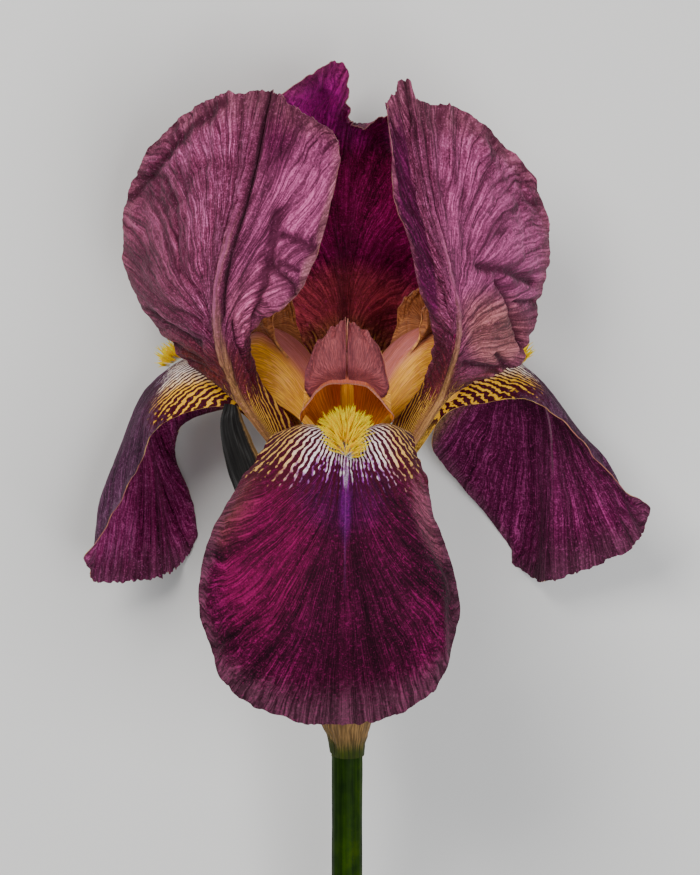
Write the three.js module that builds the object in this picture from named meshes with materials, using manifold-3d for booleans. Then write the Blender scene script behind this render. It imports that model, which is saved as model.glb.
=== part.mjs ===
// A bearded iris flower on a short cut stem, lying on its back. Millimetres, +Z up.
// The flower is drawn upright in its own frame: X to the right of its front view, Y up that view and Z
// towards the viewer, with the origin at the heart, the middle of the flower tube's rim. At the end the
// whole bloom is laid back on the margins of its two side falls and the bulge of its back standard.
import * as THREE from 'three';
import { mergeVertices } from 'three/addons/utils/BufferGeometryUtils.js';
import Module from 'manifold-3d';

const wasm = await Module();
wasm.setup();

// ---- Driving dimensions, mm and degrees ----
const LOOK_DOWN = 12;          // the front view looks down on the flower by this much
const LIE = 3.6;               // the flower leans back by this much more to lie on its three low points
const FLOOR = 40.25;           // from the heart down to the surface that the flower lies on
const HEART = [-5.55, 1.65];   // the heart in plan, from the middle of the whole flower
const PETAL = 0.8;             // thickness of a petal
const RIM = 4.6;               // radius on the tube's rim at which the six claws stand
const CLAW = 2.1;              // half the width of a claw's foot
const SEAT = 0.3;              // gap between a piece and what it stands on
const TUBE = 22;               // length of the flower tube below the heart
const NODE = 46.5;             // from the heart down to the top of the stem
const STEM_END = 103;          // from the heart down to the cut
const STEM = 3.42;             // radius of the stem

// Guide points are read off a drawing of the front view: steps across and down the sheet, then the depth
// towards the viewer in mm. The drawing is in perspective, seen from EYE mm away.
const STEP = 0.22;             // mm in a step of the sheet
const SHEET_HEART = [347, 520];
const SHEET_MIDDLE = [350, 437.5];
const EYE = 1200;

const rad = THREE.MathUtils.degToRad;
const smooth = (a, b, x) => THREE.MathUtils.smoothstep(x, a, b);

// ---- Places ----

/** A guide point of the sheet as a point in mm. */
function spot([across, down, depth]) {
  const scale = STEP * (1 - depth / EYE);
  return new THREE.Vector3(
    (SHEET_MIDDLE[0] - SHEET_HEART[0]) * STEP + (across - SHEET_MIDDLE[0]) * scale,
    (SHEET_HEART[1] - SHEET_MIDDLE[1]) * STEP + (SHEET_MIDDLE[1] - down) * scale,
    depth);
}

/** A point by its azimuth round the flower's axis, sideways step, distance from the axis and height. */
function around(azimuth, side, out, height) {
  const a = rad(azimuth);
  const e = rad(LOOK_DOWN);
  const x = out * Math.sin(a) + side * Math.cos(a);
  const front = out * Math.cos(a) - side * Math.sin(a);
  return new THREE.Vector3(x, height * Math.cos(e) - front * Math.sin(e),
    height * Math.sin(e) + front * Math.cos(e));
}

/** The five points of a claw's foot on the tube's rim. */
function foot(azimuth) {
  return [-1, -0.5, 0, 0.5, 1].map((k) =>
    around(azimuth + THREE.MathUtils.radToDeg(k * CLAW / RIM), 0, RIM, SEAT + 0.25));
}

/** The height of a point over the surface that the flower lies on. */
function clearance(p) {
  return -p.y * Math.sin(rad(LIE)) + p.z * Math.cos(rad(LIE)) + FLOOR;
}

/** A point raised square to that surface. */
function raised(p, by) {
  return new THREE.Vector3(p.x, p.y - by * Math.sin(rad(LIE)), p.z + by * Math.cos(rad(LIE)));
}

// ---- Surfaces ----

/** Where a parameter from 0 to 1 falls between n guide points, and their four smooth weights. */
function blend(n, t) {
  const s = THREE.MathUtils.clamp(t, 0, 1) * (n - 1);
  const i = Math.min(Math.floor(s), n - 2);
  const f = s - i;
  return [i, [-0.5 * f ** 3 + f ** 2 - 0.5 * f, 1.5 * f ** 3 - 2.5 * f ** 2 + 1,
    -1.5 * f ** 3 + 2 * f ** 2 + 0.5 * f, 0.5 * f ** 3 - 0.5 * f ** 2]];
}

/** A smooth curve through points, with its ends carried straight on. */
function along(points, t) {
  const n = points.length;
  const [i, weights] = blend(n, t);
  const at = (k) => {
    if (k < 0) return points[0].clone().multiplyScalar(2).sub(points[1]);
    if (k >= n) return points[n - 1].clone().multiplyScalar(2).sub(points[n - 2]);
    return points[k];
  };
  const p = new THREE.Vector3();
  weights.forEach((w, k) => p.addScaledVector(at(i + k - 1), w));
  return p;
}

/** The surface through rows of guide points: u runs from -1 to 1 along a row and v from 0 to 1 up them. */
function surface(rows) {
  return (u, v) => along(rows.map((row) => along(row, (u + 1) / 2)), v);
}

/** The unit normal of a surface: on a petal it points out of its outer, or lower, face. */
function normal(shape, u, v) {
  const d = 0.01;
  const [u0, u1] = [Math.max(u - d, -1), Math.min(u + d, 1)];
  const [v0, v1] = [Math.max(v - d, 0), Math.min(v + d, 1)];
  const across = shape(u1, v).sub(shape(u0, v));
  return across.cross(shape(u, v1).sub(shape(u, v0))).normalize();
}

/** A surface with a waved free margin: waves run round it and fade towards the middle and the claw. */
function waved(shape, { count, depth, phase, start }) {
  return (u, v) => {
    const near = Math.max(Math.abs(u), (v - 0.35) / 0.65);
    const fade = smooth(0.45, 1, near) * smooth(start, start + 0.25, v);
    const turn = Math.atan2((v - 0.35) * 1.6, u);
    const lift = depth * fade * Math.sin(count * turn + phase);
    return shape(u, v).addScaledVector(normal(shape, u, v), lift);
  };
}

// ---- Solids ----

/** A closed geometry from points and triangles. */
function closed(points, triangles) {
  const geometry = new THREE.BufferGeometry();
  geometry.setAttribute('position',
    new THREE.Float32BufferAttribute(points.flatMap((p) => [p.x, p.y, p.z]), 3));
  geometry.setIndex(triangles);
  return geometry;
}

/**
 * A blade of even thickness about a surface: both faces share their diagonals, and a rim joins them.
 * Where the blade would sink into the surface that the flower lies on, it is pressed flat against it.
 */
function blade(shape, across, up, thickness) {
  const plane = new THREE.PlaneGeometry(2, 1, across, up);
  const place = plane.attributes.position;
  const index = [...plane.index.array];
  const faces = [[], []];
  for (let i = 0; i < place.count; i += 1) {
    const [u, v] = [place.getX(i), place.getY(i) + 0.5];
    const middle = shape(u, v);
    const n = normal(shape, u, v);
    const sunk = Math.max(thickness / 2 - clearance(middle), 0);
    [0.5, -0.5].forEach((side, k) => {
      const p = raised(middle, sunk).addScaledVector(n, side * thickness);
      const flat = sunk > 0 && clearance(p) < thickness / 2;
      faces[k].push(raised(p, flat || clearance(p) < 0 ? -clearance(p) : 0));
    });
  }
  const count = place.count;
  const back = [];
  const edges = new Map();
  for (let i = 0; i < index.length; i += 3) {
    const [a, b, c] = index.slice(i, i + 3);
    back.push(a + count, c + count, b + count);
    [[a, b], [b, c], [c, a]].forEach(([p, q]) => edges.set(`${p} ${q}`, [p, q]));
  }
  const rim = [];
  edges.forEach(([p, q]) => {
    if (!edges.has(`${q} ${p}`)) rim.push(q, p, p + count, q, p + count, q + count);
  });
  return closed(faces.flat(), [...index, ...back, ...rim]);
}

/** A round or lobed stalk: rings of points along a path, closed at both ends. */
function stalk(rings) {
  const sides = rings[0].length;
  const points = rings.flat();
  const triangles = [];
  for (let r = 0; r < rings.length - 1; r += 1) {
    for (let k = 0; k < sides; k += 1) {
      const [a, b] = [r * sides + k, r * sides + (k + 1) % sides];
      triangles.push(a, b, b + sides, a, b + sides, a + sides);
    }
  }
  [0, rings.length - 1].forEach((r, end) => {
    const middle = new THREE.Vector3();
    rings[r].forEach((p) => middle.addScaledVector(p, 1 / sides));
    points.push(middle);
    for (let k = 0; k < sides; k += 1) {
      const [a, b] = [r * sides + k, r * sides + (k + 1) % sides];
      if (end) triangles.push(a, b, points.length - 1);
      else triangles.push(b, a, points.length - 1);
    }
  });
  return closed(points, triangles);
}

/** A ring of points round the flower's axis: its height, radius and the share that three lobes add. */
function ring(height, radius, sides, lobes = 0, slant = 0) {
  return Array.from({ length: sides }, (_, k) => {
    const azimuth = 360 * k / sides;
    return around(azimuth, 0, radius * (1 + lobes * Math.cos(3 * rad(azimuth))),
      height + slant * Math.cos(rad(azimuth)));
  });
}

/** Rings of points square to a path, wide along its sideways directions and narrow across them. */
function sweep(path, halves, sides, sideways) {
  return path.map((p, i) => {
    const ahead = path[Math.min(i + 1, path.length - 1)].clone().sub(path[Math.max(i - 1, 0)]).normalize();
    const wide = sideways[i].clone().addScaledVector(ahead, -sideways[i].dot(ahead)).normalize();
    const deep = ahead.clone().cross(wide);
    const [w, d] = halves[i];
    return Array.from({ length: sides }, (_, k) => {
      const a = 2 * Math.PI * k / sides;
      return p.clone().addScaledVector(wide, w * Math.cos(a)).addScaledVector(deep, d * Math.sin(a));
    });
  });
}

/** Closed geometries joined into one. */
function joined(geometries) {
  const solids = geometries.map((geometry) => {
    const bare = mergeVertices(geometry.clone().deleteAttribute('normal').deleteAttribute('uv'), 1e-4);
    return new wasm.Manifold(new wasm.Mesh({
      numProp: 3,
      vertProperties: new Float32Array(bare.attributes.position.array),
      triVerts: new Uint32Array(bare.index.array),
    }));
  });
  const mesh = solids.reduce((whole, solid) => whole.add(solid)).getMesh();
  const geometry = new THREE.BufferGeometry();
  geometry.setAttribute('position', new THREE.Float32BufferAttribute(mesh.vertProperties, 3));
  geometry.setIndex([...mesh.triVerts]);
  return geometry;
}

// ---- The petals' guide points ----
// Rows run from the claw to the free margin. Across a row the points go round the flower the same way as
// the azimuth, which is 0 for the front fall and grows towards the viewer's right.
const FALLS = {
  fall_front: { azimuth: 0, wave: { count: 9, depth: 1.1, phase: 0.4, start: 0.35 }, rows: [
    [[316, 472, 12], [328, 474, 15], [346, 474, 16], [364, 474, 15], [378, 472, 12]],
    [[284, 434, 24], [314, 431, 28], [346, 440, 30], [377, 431, 28], [404, 434, 24]],
    [[267, 441, 35], [302, 429, 40], [346, 437, 42.5], [389, 428, 40], [415, 439, 35]],
    [[250, 466, 40], [290, 466, 47], [346, 474, 50], [398, 466, 47], [426, 464, 40]],
    [[226, 512, 43], [264, 536, 50.5], [345, 552, 53.5], [418, 534, 50.5], [441, 515, 43]],
    [[206, 560, 45], [241, 616, 50], [345, 640, 52], [438, 606, 50], [456, 562, 44]],
    [[202, 602, 44], [234, 688, 45], [345, 724, 43], [432, 690, 45], [459, 602, 43]],
  ] },
  fall_left: { azimuth: -120, wave: { count: 8, depth: 1.0, phase: 1.1, start: 0.35 }, rows: [
    [[306, 434, -12], [298, 419, -9], [289, 411, -5], [281, 428, -1.5], [273, 450, 0.5]],
    [[258, 408, -18], [252, 392, -14], [246, 381, -8], [242, 396, -3], [238, 411, -1.5]],
    [[212, 412, -25], [206, 385, -21], [198, 358, -13], [196, 385, -6], [198, 409, -3.5]],
    [[178, 430, -33], [166, 392, -29], [160, 370, -20], [152, 400, -9], [160, 428, -5]],
    [[172, 460, -38], [150, 428, -35], [132, 404, -27], [123, 436, -13], [138, 474, -6]],
    [[184, 502, -41], [166, 492, -39], [148, 472, -31], [103, 496, -16], [122, 514, -7]],
    [[197, 544, -41], [188, 568, -38], [150, 582, -31], [106, 580, -19], [90, 562, -11]],
  ] },
  fall_right: { azimuth: 120, wave: { count: 8, depth: 1.0, phase: 2.3, start: 0.35 }, rows: [
    [[419, 450, 0.5], [411, 428, -1.5], [404, 411, -5], [396, 419, -9], [388, 434, -12]],
    [[447, 413, -1], [447, 398, -3], [449, 383, -8], [442, 394, -14], [434, 414, -18]],
    [[482, 403, -4], [492, 380, -7], [497, 356, -13], [468, 395, -22], [432, 446, -27]],
    [[526, 396, -6], [538, 380, -10], [528, 372, -17], [492, 428, -27], [449, 469, -33]],
    [[572, 428, -7], [584, 430, -12], [549, 414, -22], [517, 470, -32], [482, 503, -38]],
    [[600, 482, -9], [612, 468, -14], [556, 482, -27], [532, 522, -36], [508, 545, -42]],
    [[652, 507, -13], [630, 548, -20], [556, 580, -30], [532, 579, -36], [516, 561, -41.6]],
  ] },
};
const STANDARDS = {
  standard_left: { azimuth: -60, wave: { count: 7, depth: 1.0, phase: 0.6, start: 0.55 }, rows: [
    [[296, 466, 3], [300, 474, 6], [306, 482, 9], [313, 478, 10], [318, 470, 9]],
    [[252, 412, 6], [253, 420, 11], [262, 431, 15], [278, 433, 16], [294, 425, 13]],
    [[205, 376, 4], [222, 385, 14], [237, 392, 20], [250, 388, 21], [258, 374, 15]],
    [[160, 336, -4], [188, 340, 15], [219, 335, 25], [240, 334, 25], [256, 330, 19]],
    [[128, 272, -10], [165, 285, 15], [220, 272, 28], [262, 275, 26], [303, 285, 31]],
    [[130, 198, -8], [180, 190, 16], [243, 190, 29], [288, 190, 27], [338, 168, 34]],
    [[150, 150, 1], [200, 108, 14], [262, 89, 26], [294, 108, 27], [331, 132, 34]],
  ] },
  standard_right: { azimuth: 60, wave: { count: 7, depth: 0.9, phase: 2.0, start: 0.55 }, rows: [
    [[376, 470, 9], [382, 478, 10], [389, 480, 9], [395, 474, 6], [399, 466, 3]],
    [[398, 418, 11], [406, 428, 15], [420, 432, 15], [432, 420, 11], [436, 408, 6]],
    [[424, 380, 13], [434, 388, 20], [444, 388, 20], [456, 384, 14], [470, 386, 4]],
    [[430, 335, 16], [450, 336, 24], [459, 333, 25], [486, 345, 15], [522, 360, -4]],
    [[416, 268, 26], [436, 282, 26], [450, 272, 28], [500, 290, 15], [538, 300, -10]],
    [[393, 196, 29], [412, 198, 25], [432, 200, 29], [494, 206, 16], [549, 248, -8]],
    [[390, 110, 27], [395, 92, 25], [410, 83, 26], [466, 118, 15], [528, 186, 0]],
  ] },
  standard_back: { azimuth: 180, wave: { count: 7, depth: 0.9, phase: 0, start: 0.55 }, rows: [
    [[358, 462, -9], [354, 464, -10], [347, 466, -10], [340, 464, -10], [336, 462, -9]],
    [[376, 405, -17.5], [362, 410, -19.5], [346, 412, -20], [330, 410, -19.5], [316, 405, -17.5]],
    [[430, 350, -16], [386, 342, -25], [345, 338, -28.5], [304, 342, -25], [260, 350, -16]],
    [[466, 268, -7], [402, 260, -27], [344, 254, -35], [286, 260, -27], [222, 270, -7]],
    [[468, 190, -3], [404, 182, -27], [343, 176, -36], [282, 182, -27], [216, 190, -3]],
    [[440, 152, -1], [396, 138, -19], [346, 120, -28], [304, 120, -19], [252, 146, -3]],
    [[412, 140, 2], [390, 122, -8], [354, 113, -14], [324, 66, -10], [272, 92, 2]],
  ] },
};

// A style arm's keel: distance out, height, half width, and how far its margins lie out and down from it.
const KEEL = [
  [1.35, 0.45, 0.8, 0.15, 0],
  [2.6, 12, 2.6, 0.6, -0.3],
  [4.5, 22, 5.6, 1.8, -1.5],
  [8.5, 32, 8.8, 2.6, -6.2],
  [14.5, 38.5, 9.8, 1.4, -10.6],
  [21, 40.5, 10, -0.4, -11.6],
  [26.5, 36, 9.9, -2.5, -9.4],
];
// A crest's lobe above the arch: sideways step, distance out and height of its outer, middle and inner line.
const CREST = [
  [[10.2, 25.2, 34.8], [5.2, 27.0, 38.8], [0.35, 27.2, 40.4]],
  [[8.0, 24.6, 43.2], [4.4, 25.8, 45.2], [0.35, 25.6, 46.0]],
  [[5.4, 23.2, 46.6], [2.4, 23.8, 48.6], [0.5, 23.6, 50.2]],
];
const CREST_SEAT = 0.975;       // where the lobes grow from the arch, along the arm

// A stamen under an arm: distance out and height, then its half width and half depth.
const STAMEN = [
  [3.1, SEAT + 0.08, 0.55, 0.55], [4.6, 9, 0.6, 0.5], [8.6, 18.5, 0.6, 0.5], [13.6, 27, 0.55, 0.5],
  [14.6, 28.6, 1.3, 0.8], [17.6, 31.6, 1.5, 0.9], [20.6, 34.2, 1.4, 0.85], [22.4, 35.6, 0.7, 0.5],
];

// A beard: where it starts and ends up its fall, its hairs and their size.
const BEARD = { from: 0.27, to: 0.53, half: 1.1, high: 0.7, lift: 1.2, hairs: 54, radius: 0.34, length: 5.2 };

// ---- Colours ----
const COLOURS = {
  fall: [0x7a1458, 0.75], standard: [0x9c5f86, 0.7], style: [0xb3743c, 0.65], beard: [0xe8b416, 0.8],
  stamen: [0xcf8f2a, 0.6], bract: [0x9b9280, 0.85], ovary: [0x6d8a45, 0.6], stem: [0x3f6626, 0.55],
};

const bloom = new THREE.Group();

/** Adds a named solid to the bloom. */
function add(name, kind, geometry) {
  const [color, roughness] = COLOURS[kind];
  geometry.computeVertexNormals();
  const mesh = new THREE.Mesh(geometry, new THREE.MeshStandardMaterial({ color, roughness, metalness: 0 }));
  mesh.name = name;
  bloom.add(mesh);
}

// ---- Petals ----
const petalShapes = {};
for (const [petals, kind] of [[FALLS, 'fall'], [STANDARDS, 'standard']]) {
  for (const [name, { azimuth, wave, rows }] of Object.entries(petals)) {
    petalShapes[name] = waved(surface([foot(azimuth), ...rows.map((row) => row.map(spot))]), wave);
    add(name, kind, blade(petalShapes[name], 14, 17, PETAL));
  }
}

// ---- Style arms, with their crests, and the stamens under them ----
for (const [place, azimuth] of [['front', 0], ['left', -120], ['right', 120]]) {
  const arch = surface(KEEL.map(([out, height, half, outDrop, drop]) => [-1, -0.5, 0, 0.5, 1].map((k) =>
    around(azimuth, k * half, out + outDrop * k * k, height + drop * Math.abs(k) ** 2.7))));
  const lobes = [-1, 1].map((side) => {
    const rows = CREST.map((row) => row.map(([step, out, height]) =>
      around(azimuth, side * step, out, height)));
    rows.unshift([0.98, 0.5, 0.04].map((k) => arch(side * k, CREST_SEAT)));
    return blade(surface(side < 0 ? rows : rows.map((row) => [...row].reverse())), 5, 6, PETAL);
  });
  add(`style_${place}`, 'style', joined([blade(arch, 10, 13, PETAL), ...lobes]));

  const path = STAMEN.map(([out, height]) => around(azimuth, 0, out, height));
  const sideways = path.map(() => around(azimuth, 1, 0, 0));
  add(`stamen_${place}`, 'stamen', stalk(sweep(path, STAMEN.map(([, , w, d]) => [w, d]), 7, sideways)));
}

// ---- Beards: a slim ridge on each fall, with its hairs rooted in it ----
/** Numbers from 0 to 1 in a fixed order. */
function draws(seed) {
  let state = seed;
  return () => {
    state = (state * 1664525 + 1013904223) % 4294967296;
    return state / 4294967296;
  };
}

for (const [place, seed] of [['front', 5], ['left', 17], ['right', 29]]) {
  const shape = petalShapes[`fall_${place}`];
  const random = draws(seed);
  const { from, to, half, high, lift, hairs, radius, length } = BEARD;
  /** The frame on the fall's upper face at v: a point, and the ways up the petal, out of it and sideways. */
  const seat = (v) => {
    const up = shape(0, v + 0.01).sub(shape(0, v - 0.01)).normalize();
    const out = normal(shape, 0, v).negate();
    return { point: shape(0, v), up, out, side: up.clone().cross(out) };
  };
  const seats = Array.from({ length: 10 }, (_, k) => seat(from + (to - from) * k / 9));
  const path = seats.map(({ point, out }) => point.clone().addScaledVector(out, PETAL / 2 + lift));
  const halves = path.map((_, k) => [half * (k % 9 ? 1 : 0.6), high * (k % 9 ? 1 : 0.6)]);
  const parts = [stalk(sweep(path, halves, 7, seats.map(({ side }) => side)))];
  for (let k = 0; k < hairs; k += 1) {
    const t = (k + 0.5) / hairs;
    const { point, up, out, side } = seat(from + (to - from) * (0.06 + 0.88 * t));
    const lean = (k % 2 ? 1 : -1) * (0.1 + 1.5 * random() ** 1.3);
    const back = 0.6 - 0.9 * t + 0.4 * (random() - 0.5);
    const way = out.clone().addScaledVector(side, lean).addScaledVector(up, -back).normalize();
    const size = length * (0.8 + 0.3 * random()) * (1 - 0.2 * t);
    const hair = new THREE.ConeGeometry(radius, size, 3).toNonIndexed();
    hair.translate(0, size / 2, 0);
    hair.applyQuaternion(new THREE.Quaternion().setFromUnitVectors(new THREE.Vector3(0, 1, 0), way));
    const root = point.addScaledVector(out, PETAL / 2 + lift).addScaledVector(side, lean * 0.3);
    parts.push(hair.translate(root.x, root.y, root.z));
  }
  add(`beard_${place}`, 'beard', joined(parts));
}

// ---- Below the petals: the tube with the ovary, the two bracts and the stem ----
add('ovary_tube', 'ovary', stalk([
  ring(-NODE + SEAT, 2.5, 15, 0.06), ring(-43, 3.3, 15, 0.09), ring(-38, 3.9, 15, 0.1),
  ring(-32, 4.1, 15, 0.1), ring(-27, 3.5, 15, 0.08), ring(-TUBE, 2.7, 15, 0.04), ring(-15, 2.5, 15),
  ring(-8, 2.8, 15), ring(-3, 4.2, 15), ring(-1, 5.2, 15), ring(0, 5.3, 15),
]));
add('stem', 'stem', stalk([
  ring(-STEM_END, STEM, 14, 0, 2.4), ring(-86, STEM, 14), ring(-70, STEM - 0.05, 14),
  ring(-58, STEM, 14), ring(-51.5, STEM - 0.1, 14), ring(-49, 2.9, 14), ring(-NODE, 2.75, 14),
]));

/** A bract's foot, wrapped round the top of the stem between two azimuths. */
function wrap(first, last, radius, height) {
  return [0, 0.25, 0.5, 0.75, 1].map((k) => around(first + (last - first) * k, 0, radius, height));
}

const bracts = {
  bract_left: [
    wrap(-196, -30, 3.7, -48.6), wrap(-198, -28, 4.4, -44.8),
    ...[
      [[338, 690, -15], [322, 690, -12], [313, 690, -6], [325, 690, -1.0], [344, 690, 0.5]],
      [[322, 628, -13], [300, 630, -10], [290, 632, -4], [304, 632, 3], [327, 632, 5]],
      [[298, 560, -9], [276, 560, -7], [264, 562, -1], [278, 560, 4], [304, 556, 6]],
      [[272, 484, -5], [254, 488, -4], [243, 492, 0], [256, 486, 3.5], [276, 478, 4]],
      [[250, 430, 0.6], [240, 430, 1], [228, 432, 2.2], [238, 430, 3.6], [253, 428, 4]],
      [[243, 407, 2.2], [238, 405, 2.4], [232, 404, 2.8], [237, 404, 3.4], [243, 406, 3.8]],
    ].map((row) => row.map(spot)),
  ],
  bract_right: [
    wrap(-14, 148, 3.7, -48.6), wrap(-8, 148, 4.4, -44.8),
    wrap(-1, 142, 6.0, -38), wrap(4, 124, 7.2, -28), wrap(20, 100, 7.4, -17), wrap(46, 74, 7.6, -10),
  ],
};
for (const [name, rows] of Object.entries(bracts)) {
  add(name, 'bract', blade(surface(rows), 10, 14, 0.7));
}

// ---- Laid on its back ----
bloom.rotation.x = -rad(LIE);
bloom.position.set(HEART[0], HEART[1], FLOOR);

const flower = new THREE.Group();
flower.add(bloom);
export default flower;
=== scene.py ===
# A bearded iris flower on a short cut stem, laid on its back on a pale table and seen from over its front.
import logging
import math
from dataclasses import dataclass, replace
from enum import Enum
from typing import ClassVar, Sequence

import bpy
import numpy as np
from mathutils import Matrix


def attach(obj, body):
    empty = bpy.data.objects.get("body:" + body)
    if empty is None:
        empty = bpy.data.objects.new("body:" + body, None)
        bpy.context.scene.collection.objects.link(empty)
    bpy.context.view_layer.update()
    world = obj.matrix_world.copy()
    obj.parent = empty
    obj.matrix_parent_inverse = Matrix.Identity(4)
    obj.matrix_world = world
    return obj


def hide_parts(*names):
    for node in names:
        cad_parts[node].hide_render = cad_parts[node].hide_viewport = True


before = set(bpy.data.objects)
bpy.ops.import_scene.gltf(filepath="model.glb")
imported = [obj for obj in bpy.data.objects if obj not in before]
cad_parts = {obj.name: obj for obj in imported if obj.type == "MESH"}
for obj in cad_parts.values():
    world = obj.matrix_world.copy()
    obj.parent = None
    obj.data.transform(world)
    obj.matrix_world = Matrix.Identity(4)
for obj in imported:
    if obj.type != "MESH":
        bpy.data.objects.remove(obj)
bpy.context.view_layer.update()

log = logging.getLogger("iris")

Colour = tuple[float, float, float]
Guide = Sequence[Sequence[Sequence[float]]]

LOOK_DOWN = math.radians(12)   # the front view looks down on the flower by this much
LIE = math.radians(3.6)        # the flower leans back by this much more to lie on its three low points
FLOOR = 40.25                  # mm from the heart down to the table
HEART = (-5.55, 1.65)          # mm, the heart in plan
RIM = 4.6                      # mm, radius on the tube's rim at which the claws stand
CLAW = 2.1                     # mm, half the width of a claw's foot
FOOT = 0.55                    # mm, height of a claw's foot over the rim
METRE = 1000                   # mm in a metre
CROSS = np.array([-1, -0.5, 0, 0.5, 1])  # where a row's five guide points stand across a sheet
VEIN_ROOT = 0.33               # how far up a petal its veins start to fan out from the midrib
VEIN_LEAST = 0.03              # the least rise that the fan is reckoned with
VEIN_SPREAD = 1.5              # how much taller than wide the fan is


class Slot(Enum):
    """Material slots of the pieces."""

    FALL = "fall"
    STANDARD = "standard"
    STYLE = "style"
    STAMEN = "stamen"
    BEARD = "beard"
    BRACT = "bract"
    OVARY = "ovary"
    STEM = "stem"


# ---------------------------------------------------------------- places


@dataclass(frozen=True)
class Drawing:
    """The front view that the guide points are read off, drawn in perspective.

    Guide points are steps across and down the sheet, then a depth towards the viewer in mm.
    """

    step: float = 0.22  # mm in a step of the sheet
    heart: tuple[float, float] = (347.0, 520.0)  # the flower's heart, in steps
    middle: tuple[float, float] = (350.0, 437.5)  # the sheet's middle, in steps
    eye: float = 1200.0  # mm from the heart to the eye
    tall: float = 875.0  # the sheet's height, in steps

    def points(self, guide: Guide) -> np.ndarray:
        """Guide points in mm, with the heart as origin.

        Args:
            guide: rows of (across, down, depth).

        Returns:
            An array of the same rows of (x, y, z).
        """
        spots = np.asarray(guide, float)
        scale = self.step * (1 - spots[..., 2] / self.eye)
        x = (self.middle[0] - self.heart[0]) * self.step + (spots[..., 0] - self.middle[0]) * scale
        y = (self.heart[1] - self.middle[1]) * self.step + (self.middle[1] - spots[..., 1]) * scale
        return np.stack([x, y, spots[..., 2]], -1)

    def eye_point(self) -> np.ndarray:
        """Where the eye is, in mm from the heart."""
        return np.array([(self.middle[0] - self.heart[0]) * self.step,
                         (self.heart[1] - self.middle[1]) * self.step, self.eye])

    def lens(self, sensor: float) -> float:
        """The focal length in mm that shows the sheet's height on a sensor's long side."""
        return self.eye * sensor / (self.tall * self.step)


DRAWING = Drawing()


def around(azimuth: float, side: np.ndarray | float, out: np.ndarray | float,
           height: np.ndarray | float) -> np.ndarray:
    """Points by their place about the flower's axis.

    Args:
        azimuth: degrees round the axis, 0 at the front fall.
        side: mm sideways from that azimuth.
        out: mm from the axis.
        height: mm above the heart along the axis.

    Returns:
        Points in mm, with the heart as origin.
    """
    a = np.radians(azimuth)
    x = out * np.sin(a) + side * np.cos(a)
    front = out * np.cos(a) - side * np.sin(a)
    y = height * math.cos(LOOK_DOWN) - front * math.sin(LOOK_DOWN)
    z = height * math.sin(LOOK_DOWN) + front * math.cos(LOOK_DOWN)
    return np.stack(np.broadcast_arrays(x, y, z), -1)


def laid(points: np.ndarray) -> np.ndarray:
    """Points of the upright flower, in mm, as they lie on the table, in metres.

    Args:
        points: places in mm, with the heart as origin.

    Returns:
        The same places in metres, with the middle of the whole flower, on the table, as origin.
    """
    c, s = math.cos(LIE), math.sin(LIE)
    x, y, z = points[..., 0], points[..., 1], points[..., 2]
    return np.stack([x + HEART[0], y * c + z * s + HEART[1], z * c - y * s + FLOOR], -1) / METRE


def lifted(points: np.ndarray, clear: float) -> np.ndarray:
    """Points in mm with those that would sink into the table raised to a clearance over it.

    Args:
        points: places in mm, with the heart as origin.
        clear: mm that each keeps over the table.

    Returns:
        The same places, the low ones raised square to the table.
    """
    height = points[..., 2] * math.cos(LIE) - points[..., 1] * math.sin(LIE) + FLOOR
    by = np.maximum(clear - height, 0)
    return points + by[..., None] * np.array([0, -math.sin(LIE), math.cos(LIE)])


def smooth(low: float, high: float, x: np.ndarray) -> np.ndarray:
    """A smooth step from 0 at low to 1 at high."""
    t = np.clip((x - low) / (high - low), 0, 1)
    return t * t * (3 - 2 * t)


class Ripple:
    """Smooth noise over a plane, the same every time for the same seed."""

    SIZE: ClassVar[int] = 128  # units after which the noise repeats

    def __init__(self, seed: int) -> None:
        """Draws the noise's lattice from a seed."""
        self.lattice = np.random.default_rng(seed).uniform(-1, 1, (self.SIZE, self.SIZE))

    def at(self, x: np.ndarray | float, y: np.ndarray | float) -> np.ndarray:
        """The noise at places of the plane, about -1 to 1 and one bump to a unit.

        Args:
            x: places along the plane.
            y: places up it.

        Returns:
            The noise at each place.
        """
        x, y = np.broadcast_arrays(np.asarray(x, float), np.asarray(y, float))
        ix, iy = np.floor(x).astype(int), np.floor(y).astype(int)
        fx, fy = smooth(0, 1, x - ix), smooth(0, 1, y - iy)
        total = np.zeros(x.shape)
        for i, j in ((0, 0), (1, 0), (0, 1), (1, 1)):
            share = (fx if i else 1 - fx) * (fy if j else 1 - fy)
            total += share * self.lattice[(ix + i) % self.SIZE, (iy + j) % self.SIZE]
        return total

    def creases(self, x: np.ndarray, y: np.ndarray, sharp: float) -> np.ndarray:
        """Thin valleys from 0 to 1, 1 at their bottom."""
        return (1 - np.minimum(np.abs(self.at(x, y)), 1)) ** sharp


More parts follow.
